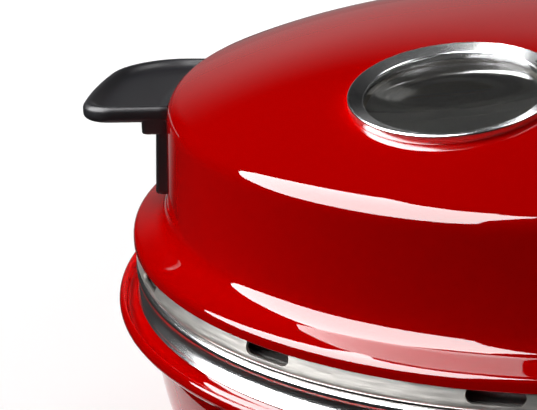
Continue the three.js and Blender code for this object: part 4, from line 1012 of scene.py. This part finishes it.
class OVEN_OT_control_pod(bpy.types.Operator):
    """Control pod with rounded edges, fitted to the bowl, and its printed dials"""
    bl_idname = "oven.control_pod"
    bl_label = "Control Pod"

    def execute(self, context):
        controls = sizes("oven_controls")
        low, high = (v.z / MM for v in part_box("control_pod"))
        front, edge, big_corner, spacing, gap_to_bowl = controls.front, 2.4, 13.0, 9, 0.25

        def outline(inset):
            corner = big_corner - inset
            x, z0, z1 = controls.half_width - big_corner, low + big_corner, high - big_corner
            points = np.vstack([arc(cx, cz, corner, corner, start, start + 90, 12)
                                for cx, cz, start in ((x, z0, -90), (x, z1, 0), (-x, z1, 90), (-x, z0, 180))])
            for p, q in zip(points, np.roll(points, -1, 0)):
                count = max(1, int(math.hypot(*(q - p)) // spacing))
                yield from (p + (q - p) * k / count for k in range(count))

        def ring(inset, y):
            return [(x, y, z) for x, z in outline(inset)]
        loops = [ring(edge, -front)]
        loops += [ring(edge * (1 - math.sin(a)), -front + edge * (1 - math.cos(a)))
                  for a in np.radians([18, 36, 54, 72, 90])]
        loops.append([(x, -math.sqrt(bowl_radius(z) ** 2 - x * x) - gap_to_bowl, z) for x, z in outline(0)])
        holes = [(x, knob_z(), 5.3) for x in (-KNOB_X, KNOB_X)] + [(x, LAMP_Z, 3.5) for x in (-LAMP_X, LAMP_X)]
        cuts = [placed(rod(r, front - 8, front + 5), shift(x, 0, z) @ turn(90, "X")) for x, z, r in holes]
        add_piece("pod_shell", lofted(loops), "base", "black_plastic", ("control_pod",), sharp=40, cuts=cuts)
        self.print_dials(front)
        return {"FINISHED"}

    def print_dials(self, front):
        """Tick marks and numbers round each knob, as thin raised print."""
        parts, number_radius, tick_radius, ticks_a_number = [], 20.6, 17.1, 5
        for x, step, labels in ((-KNOB_X, 56.0, "0 1 2 3 4 5"), (KNOB_X, 60.0, "0 3 6 9 12 15")):
            centre, labels = shift(x, -front, knob_z()), labels.split()
            for i, label in enumerate(labels):
                a = math.radians(step * i)
                at = centre @ shift(number_radius * math.sin(a), 0, number_radius * math.cos(a))
                parts.append(placed(number_part(label, 3.4), at))
            for k in range((len(labels) - 1) * ticks_a_number + 1):
                tall = 0.7 if k % ticks_a_number else 1.3
                tick = box_part((-0.16, -0.12, tick_radius), (0.16, 0.02, tick_radius + tall))
                parts.append(placed(tick, centre @ turn(step * k / ticks_a_number, "Y")))
        add_piece("dial_print", joined(*parts), "base", "ceramic", look="print")


def knob_z():
    """Height of the knobs' middle over the table, from the frame."""
    low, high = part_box("thermostat_knob")
    return (low.z + high.z) / 2 / MM


def number_part(text, size, rise=0.06):
    """Raised numbers standing on the pod's face, about their own middle."""
    curve = bpy.data.curves.new("number", "FONT")
    curve.body, curve.size, curve.extrude = text, size, rise
    curve.align_x = curve.align_y = "CENTER"
    holder = link_object("number", curve)
    bpy.context.view_layer.update()
    mesh = bpy.data.meshes.new_from_object(holder.evaluated_get(bpy.context.evaluated_depsgraph_get()))
    verts = [(v.co.x, -rise - v.co.z, v.co.y) for v in mesh.vertices]
    faces = [list(p.vertices) for p in mesh.polygons]
    bpy.data.objects.remove(holder)
    bpy.data.meshes.remove(mesh)
    return verts, faces


class OVEN_OT_knobs(bpy.types.Operator):
    """Ribbed knobs with a pointer bar and a white mark"""
    bl_idname = "oven.knobs"
    bl_label = "Knobs"

    def execute(self, context):
        controls = sizes("oven_controls")
        back = controls.front + 0.8
        front, bore_end = back + 19.0, back + 12
        for name, node, body, x in (("heat_dial", "thermostat_knob", "temperature_knob", -KNOB_X),
                                    ("time_dial", "timer_knob", "timer_dial", KNOB_X)):
            low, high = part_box(node)
            skirt = (high.x - low.x) / 2 / MM
            body_r = skirt - 2.6
            reach = body_r - 2.2
            place = shift(x, 0, knob_z())
            outline = chain(
                (3.4, bore_end), (3.4, back), (skirt - 0.4, back), (skirt, back + 0.4), (skirt, back + 2.2),
                ((skirt, back + 3.0), (skirt - 0.6, back + 3.2), (body_r + 0.4, back + 3.5), 5),
                ((body_r - 0.6, front - 2.4), 6),
                ((body_r - 0.7, front - 0.6), (body_r - 1.6, front), (body_r - 3.0, front), 7),
                ((0, front - 0.4), 6), (0, bore_end))
            knob = placed(turned(outline, closed=False, steps=96), turn(90, "X"))
            rib = self.rib(body_r, back)
            ribs = [placed(rib, turn(360 * k / controls.knob_ribs, "Y")) for k in range(controls.knob_ribs)]
            add_piece(name, placed(joined(knob, self.bar(reach, front), *ribs), place), body, "black_gloss", (node,),
                      sharp=40)
            half, low_z, high_z, face = 0.5, reach - 7.5, reach - 1.6, -front - 2.56
            mark = lofted([[(-half, y, low_z), (half, y, low_z), (half, y, high_z), (-half, y, high_z)]
                           for y in (face + 0.1, face)])
            add_piece(f"{name}_mark", placed(mark, place), body, "ceramic", look="print")
        return {"FINISHED"}

    def bar(self, reach, front):
        """The pointer bar across the knob's face."""
        loops = []
        for inset, rise in ((0, -2.6), (0, 1.7), (0.3, 2.2), (0.8, 2.5)):
            half = 2.2 - inset
            middle = reach - half
            ends = np.vstack([arc(0, middle, half, half, 0, 180, 10), arc(0, -middle, half, half, 180, 360, 10)])
            loops.append([(x, -front - rise, z) for x, z in ends])
        return lofted(loops)

    def rib(self, body_r, back):
        """One rib of the knob's side, below its axis."""
        loops, sunk = [], 0.6
        for t, half, proud in ((0.0, 0.45, 0.0), (0.15, 0.55, 0.5), (0.85, 0.5, 0.5), (1.0, 0.3, 0.0)):
            y = back + 4.2 + t * 10.0
            r = body_r + 0.4 - (y - back - 3.5) / 13.1
            loops.append([(half * c, -y, -(r - sunk + (sunk + proud) * s))
                          for c, s in ((-1, 0), (-0.8, 0.7), (0, 1), (0.8, 0.7), (1, 0))])
        return lofted(loops)


class OVEN_OT_lamps(bpy.types.Operator):
    """Pilot lamps with faceted domes and thin bezels"""
    bl_idname = "oven.lamps"
    bl_label = "Pilot Lamps"

    def execute(self, context):
        face, r = sizes("oven_controls").front, 3.2
        outline = chain(
            (0, face - 9.7), (r, face - 9.7), (r, face + 0.3), (3.7, face + 0.3), (3.95, face + 0.45),
            (3.9, face + 0.75), (3.5, face + 0.9), (r, face + 0.85), arc(0, face + 0.85, r, 1.0, 4, 90, 8))
        for name, node, slot, x in (("red_pilot", "power_lamp", "red_lens", -LAMP_X),
                                    ("green_pilot", "heat_lamp", "green_lens", LAMP_X)):
            part = placed(turned(outline, closed=False, steps=40), shift(x, 0, LAMP_Z) @ turn(90, "X"))
            add_piece(name, part, "base", slot, (node,))
        return {"FINISHED"}


class OVEN_OT_feet(bpy.types.Operator):
    """Rubber feet under the base"""
    bl_idname = "oven.feet"
    bl_label = "Feet"

    def execute(self, context):
        outline = chain(
            (6.0, 0.3), (6.3, 0), ((11.4, 0), 2), arc(11.2, 0.8, 0.8, 0.8, -60, 0, 4), ((13.2, 10.6), 4),
            arc(12.6, 11.1, 0.8, 0.8, -20, 90, 5), (2.4, 11.9), (2.4, 5.0), (5.8, 5.0), (6.0, 4.8))
        add_piece("rubber_feet", placed(turned(outline, steps=48), shift(0, -FOOT_CIRCLE, 0)), "base", "rubber",
                  numbered("foot", 4), copies=ring_of(4, "rubber", first=math.pi / 4))
        return {"FINISHED"}


def pan_screw(head_radius, head, length, shank_radius=2.0, recess=1.05):
    """A pan-head screw on Z with a round recess, its head down at zero and its shank upwards."""
    end = head + length
    return turned(chain(
        (0, recess), (0.5, recess), (0.62, 0.08), (1.0, 0.0), (head_radius * 0.55, 0.05),
        ((head_radius * 0.9, 0.2), (head_radius, head * 0.4), (head_radius, head), 7),
        (shank_radius, head), (shank_radius, end - 0.6), (shank_radius - 0.5, end), (0, end)), closed=False, steps=32)


class OVEN_OT_screws(bpy.types.Operator):
    """Screws of the feet, the grips and the hinge, repeated where they sit"""
    bl_idname = "oven.screws"
    bl_label = "Screws"

    def execute(self, context):
        grip, steel = sizes("oven_grips"), "dull_steel"
        foot = placed(pan_screw(4.2, 2.6, 11.4), shift(0, -FOOT_CIRCLE, 2.1))
        add_piece("foot_screw_set", foot, "base", steel, numbered("foot_screw", 4),
                  copies=ring_of(4, steel, first=math.pi / 4))
        inner = placed(pan_screw(4.0, 2.1, 7.6), shift(0, -150.6, 41.5) @ turn(90, "X"))
        for side, name in ((-1, "left"), (1, "right")):
            first = side * grip.angle - grip.half_angle / 2
            add_piece(f"{name}_grip_screw_set", inner, "lid", steel, numbered(f"{name}_grip_screw", 2),
                      copies=ring_of(2, steel, first, grip.half_angle))
        for body, x, y, z in (("base", 18.0, 171.7, 60.0), ("lid", 14.0, 161.2, 29.0)):
            part = placed(pan_screw(4.0, 2.2, 8.4), shift(-x, y, z) @ turn(90, "X"))
            row = {"Count": 2, "Offset": (2 * x * MM, 0, 0), "Material": finish(steel)}
            add_piece(f"hinge_{body}_screw_set", part, body, steel, numbered(f"hinge_{body}_screw", 2),
                      copies=repeated("Row of Copies", row))
        return {"FINISHED"}


class OVEN_OT_hinge(bpy.types.Operator):
    """Hinge brackets with eased edges, and the pin"""
    bl_idname = "oven.hinge"
    bl_label = "Hinge"

    def execute(self, context):
        self.eased_copy("hinge_stand", "base", 0.9)
        self.eased_copy("hinge_arm", "lid", 0.8)
        pin = placed(rod(3.0, -33, 33, 0.6, 40), shift(0, HINGE_Y, HINGE_Z) @ turn(90, "Y"))
        add_piece("hinge_rod", pin, "base", "brushed_steel", ("hinge_pin",))
        return {"FINISHED"}

    def eased_copy(self, name, body, width, slot="black_plastic"):
        """A copy of the body's hinge bracket with its edges rounded."""
        node = f"hinge_{body}_bracket"
        mesh = frame["nodes"][node].data.copy()
        work = bmesh.new()
        work.from_mesh(mesh)
        bmesh.ops.remove_doubles(work, verts=work.verts, dist=1e-5)
        bmesh.ops.dissolve_limit(work, angle_limit=math.radians(2), verts=work.verts, edges=work.edges)
        work.to_mesh(mesh)
        work.free()
        piece = link_object(name, mesh)
        bevel = piece.modifiers.new("Eased edges", "BEVEL")
        bevel.width, bevel.segments = width * MM, 3
        bevel.limit_method, bevel.angle_limit = "ANGLE", math.radians(38)
        bake_modifiers(piece)
        finish_piece(piece, body, finish(slot), (node,), 35)


class OVEN_OT_underside(bpy.types.Operator):
    """Cord gland, and CAD nodes kept as they are with their finishes"""
    bl_idname = "oven.underside"
    bl_label = "Gland and Kept Nodes"

    def execute(self, context):
        bore, inner_end = 3.9, 133.5
        outline = chain(
            (bore, inner_end), (7.0, inner_end), (7.0, 150.6), (9.6, 150.6), (10.0, 151.2), (10.0, 158.4), (9.6, 159.0),
            (7.6, 159.0), (7.1, 159.6), ((6.6, 167.0), 3), (6.2, 167.8), (5.4, 168.0), (4.4, 168.0), (bore, 167.4))
        gland = placed(turned(outline, steps=48), shift(GLAND_X, 0, GLAND_Z) @ turn(-90, "X"))
        add_piece("rear_gland", gland, "base", "rubber", ("cord_gland",))
        slots = {row["node"]: row["material_slot"] for row in frame["record"]["subparts"]}
        for node, obj in frame["nodes"].items():
            if not obj.material_slots:
                obj.data.materials.append(None)
            for holder in obj.material_slots:
                holder.material = finish(slots[node])
        return {"FINISHED"}


# Stage


def ease(value, zero, one):
    """A smooth step that is nought at the first limit and one at the second."""
    t = min(max((value - zero) / (one - zero), 0.0), 1.0)
    return t * t * (3 - 2 * t)


def direction(azimuth, elevation):
    """Unit vector at an azimuth from the front towards +X and an elevation, in degrees."""
    a, e = math.radians(azimuth), math.radians(elevation)
    return Vector((math.cos(e) * math.sin(a), -math.cos(e) * math.cos(a), math.sin(e)))


# Each lamp: azimuth, elevation, distance and width in metres, power in watts.
LAMPS = {
    "key": (-70, 45, 1.9, 1.0, 30.0),
    "rear_fill": (165, 45, 2.0, 1.0, 7.0),
    "right_fill": (80, 40, 2.0, 0.8, 3.0),
}
# Outlines of the mirrored softboxes: elevation, first azimuth, last azimuth.
KEY_SOFTBOX = (
    (9, -60, -52), (10.5, -67, -48), (12, -71, -42), (14, -73, -35), (17, -75, -23), (20, -77, -14), (23, -79, -5),
    (27, -81, 1), (32, -83, 4), (46, -93, 4), (50, -100, 4), (55, -111, 5), (60, -119, 6), (64, -113, 7), (68, -103, 8),
    (76, -80, 12), (82, -72, 20),
)
REAR_SOFTBOX = ((56, 112, 165), (74, 105, 170))
SOFTBOX_DISTANCE, ROOM_DISTANCE = 12.0, 14.0    # far enough that reflections don't shift across the oven
TABLE_RINGS = (0.24, 0.5, 0.7, 0.8, 0.9, 1.0, 1.1, 1.2, 1.4, 13.8)
ROOM_REAR = (0.5, 0.8)                          # where the room pales, as a share of the way to the rear
FLOOR_HALF, FLOOR_DROP = 8.0, 0.0002
FLOOR_GREY, FLOOR_GLOW, FLOOR_FADE = 0.6, 0.42, (0.45, 1.3)


class OVEN_OT_stage(bpy.types.Operator):
    """Camera, floor, lamps, softboxes and dark cards of the studio"""
    bl_idname = "oven.stage"
    bl_label = "Stage"

    def execute(self, context):
        scene, stage = context.scene, sizes("oven_stage")
        self.camera(scene, stage.focal_length)
        self.world(scene, stage.world_level)
        self.floor()
        self.lamps()
        self.room(stage)
        scene.view_settings.view_transform = "Standard"
        return {"FINISHED"}

    def camera(self, scene, focal_length):
        """The photograph's camera, solved from the lid's circles."""
        azimuth, distance, lift = math.radians(25.6), 808.3, 295.1
        yaw, pitch, roll = math.radians(8.192), math.radians(19.633), math.radians(-1.681)
        spot = Vector((distance * math.sin(azimuth), -distance * math.cos(azimuth), 0))
        flat = Matrix.Rotation(yaw, 3, "Z") @ (-spot.normalized())
        forward = (flat * math.cos(pitch) + Vector((0, 0, -math.sin(pitch)))).normalized()
        right = forward.cross(Vector((0, 0, 1))).normalized()
        up = right.cross(forward)
        rolled_right = right * math.cos(roll) + up * math.sin(roll)
        rolled_up = -right * math.sin(roll) + up * math.cos(roll)
        data = bpy.data.cameras.new("Camera")
        data.lens, data.clip_start = focal_length, 0.05
        data.sensor_fit, data.sensor_width = "HORIZONTAL", 36.0
        camera = link_object("Camera", data)
        look = Matrix((rolled_right, rolled_up, -forward)).transposed()
        place = Vector((spot.x, spot.y + AXIS_Y, EDGE_Z + lift)) * MM
        camera.matrix_world = Matrix.Translation(place) @ look.to_4x4()
        scene.camera = camera

    def seen(self, tree):
        """One where a camera, glossy or transmission ray looks, else zero."""
        path = add_node(tree, "ShaderNodeLightPath").node.outputs
        either = maths(tree, "MAXIMUM", path["Is Camera Ray"], path["Is Glossy Ray"])
        return maths(tree, "MAXIMUM", either, path["Is Transmission Ray"])

    def world(self, scene, level):
        """White where it is seen or mirrored, and a plain level as light."""
        scene.world = bpy.data.worlds.new("Studio")
        scene.world.use_nodes = True
        tree = scene.world.node_tree
        ground = tree.nodes["Background"]
        tree.links.new(maths(tree, "MULTIPLY_ADD", self.seen(tree), 1.0 - level, level), ground.inputs["Strength"])
        ground.inputs["Color"].default_value = (1, 1, 1, 1)

    def glowing(self, name, grey, rough):
        """A material without shine and with white light of its own: the material, its tree and its strength socket."""
        material = bpy.data.materials.new(name)
        material.use_nodes = True
        surface = material.node_tree.nodes["Principled BSDF"].inputs
        surface["Base Color"].default_value = (grey, grey, grey, 1)
        surface["Roughness"].default_value = rough
        surface["Specular IOR Level"].default_value = 0.0
        surface["Emission Color"].default_value = (1, 1, 1, 1)
        return material, material.node_tree, surface["Emission Strength"]

    def floor(self):
        """A pale floor that keeps the oven's shadow and turns plain white further out."""
        s, z = FLOOR_HALF, -FLOOR_DROP
        mesh = bpy.data.meshes.new("floor")
        mesh.from_pydata([(-s, -s, z), (s, -s, z), (s, s, z), (-s, s, z)], [], [(0, 1, 2, 3)])
        material, tree, strength = self.glowing("Pale floor", FLOOR_GREY, 0.8)
        place = add_node(tree, "ShaderNodeTexCoord").node.outputs["Object"]
        distance = add_node(tree, "ShaderNodeVectorMath", {0: place}, operation="LENGTH").node.outputs["Value"]
        fade = add_node(tree, "ShaderNodeMapRange", {
            "Value": distance, "From Min": FLOOR_FADE[0], "From Max": FLOOR_FADE[1], "To Min": FLOOR_GLOW,
            "To Max": 1.0}, interpolation_type="SMOOTHSTEP")
        tree.links.new(maths(tree, "MULTIPLY", self.seen(tree), fade), strength)
        mesh.materials.append(material)
        floor = link_object("floor", mesh)

    def lamps(self):
        """The key from the front left, and weak fills; the softboxes stand for them in reflections."""
        target = Vector((0, 0, 0.12))
        for name, (azimuth, elevation, distance, size, power) in LAMPS.items():
            data = bpy.data.lights.new(name, "AREA")
            data.shape, data.size, data.energy = "SQUARE", size, power
            lamp = link_object(name, data)
            aim = direction(azimuth, elevation)
            lamp.matrix_world = (Matrix.Translation(target + aim * distance)
                                 @ (-aim).to_track_quat("-Z", "Y").to_matrix().to_4x4())
            lamp.visible_glossy = False

    def room(self, stage):
        """What the enamel and the metal mirror: softboxes in a dark room that pales towards its rear, and the table."""
        rear = stage.room_level
        for name, rows, level in (("key_softbox", KEY_SOFTBOX, stage.softbox_level),
                                  ("rear_softbox", REAR_SOFTBOX, 0.5 * stage.softbox_level)):
            self.patch(name, SOFTBOX_DISTANCE, rows, lambda a, e, level=level: level).visible_transmission = False

        def rearwards(a):
            return rear * ease(-math.cos(math.radians(a)), *ROOM_REAR)
        self.patch("room", ROOM_DISTANCE, [(e, -180, 180) for e in range(-4, 91, 2)],
                   lambda a, e: rearwards(a) * ease(e, 25, 10))

        def table_level(a, r):
            near = 0.5 * ease(a, -104, -127) * ease(a, -137, -130) + 0.5 * ease(abs(a), 138, 147)
            return near + (0.85 * rearwards(a) - near) * ease(r, 0.7, 1.3)
        self.table("table_mirror", TABLE_RINGS, table_level)

    def patch(self, name, radius, rows, level):
        """A piece of a sphere round the oven; each row is an elevation with its first and last azimuth."""
        middle = Vector((0, 0, 0.15))
        grid = [[(a, e) for a in np.linspace(first, last, 72)] for e, first, last in rows]
        return self.card(name, [[middle + direction(a, e) * radius for a, e in row] for row in grid],
                         [level(a, e) for row in grid for a, e in row])

    def table(self, name, radii, level):
        """Flat rings on the floor."""
        above, angles = Vector((0, 0, 0.0004)), np.linspace(-180, 180, 181)
        return self.card(name, [[above + direction(a, 0) * r for a in angles] for r in radii],
                         [level(a, r) for r in radii for a in angles])

    def card(self, name, grid, levels):
        """A stage card over rows of points that only reflections and glass see."""
        count = len(grid[0])
        faces = [(i + k, i + k + 1, i + k + 1 + count, i + k + count)
                 for i in range(0, (len(grid) - 1) * count, count) for k in range(count - 1)]
        mesh = bpy.data.meshes.new(name)
        mesh.from_pydata([point for row in grid for point in row], [], faces)
        mesh.attributes.new("level", "FLOAT", "POINT").data.foreach_set("value", levels)
        mesh.materials.append(self.card_material())
        card = link_object(name, mesh)
        card.visible_camera = card.visible_diffuse = card.visible_shadow = False
        return card

    def card_material(self):
        """Dark cloth whose own light comes from the mesh's level."""
        name = "Studio card"
        if name not in bpy.data.materials:
            _, tree, strength = self.glowing(name, 0.006, 0.9)
            level = add_node(tree, "ShaderNodeAttribute", attribute_name="level").node.outputs["Fac"]
            tree.links.new(level, strength)
        return bpy.data.materials[name]


# Registration


STEPS = (
    OVEN_OT_stage, OVEN_OT_lid_shell, OVEN_OT_slotted_band, OVEN_OT_lid_reflector, OVEN_OT_window, OVEN_OT_grips,
    OVEN_OT_base_bowl, OVEN_OT_rim_ring, OVEN_OT_heat_pan, OVEN_OT_elements, OVEN_OT_stone, OVEN_OT_supports,
    OVEN_OT_control_pod, OVEN_OT_knobs, OVEN_OT_lamps, OVEN_OT_feet, OVEN_OT_screws, OVEN_OT_hinge, OVEN_OT_underside,
)

GROUPS = {
    "oven_looks": OvenLooks, "oven_lid": OvenLid, "oven_window": OvenWindow, "oven_grips": OvenGrips,
    "oven_base": OvenBase, "oven_controls": OvenControls, "oven_stage": OvenStage,
}


class OVEN_PT_panel(bpy.types.Panel):
    """Lists the oven's sizes, colours and building steps"""
    bl_idname = "OVEN_PT_panel"
    bl_label = "Pizza Oven"
    bl_space_type = "VIEW_3D"
    bl_region_type = "UI"
    bl_category = "Oven"

    def draw(self, context):
        for key, group in GROUPS.items():
            box = self.layout.box()
            box.label(text=group.__doc__)
            for item in group.__annotations__:
                box.prop(getattr(context.scene, key), item)
        for step in STEPS:
            self.layout.operator(step.bl_idname)


CLASSES = (*GROUPS.values(), *STEPS, OVEN_PT_panel)


def register():
    for item in CLASSES:
        bpy.utils.register_class(item)
    for key, group in GROUPS.items():
        setattr(bpy.types.Scene, key, PointerProperty(type=group))


def unregister():
    for key in GROUPS:
        delattr(bpy.types.Scene, key)
    for item in reversed(CLASSES):
        bpy.utils.unregister_class(item)


def main():
    register()
    for step in STEPS:
        group, name = step.bl_idname.split(".")
        getattr(getattr(bpy.ops, group), name)()


if __name__ == "__main__":
    main()
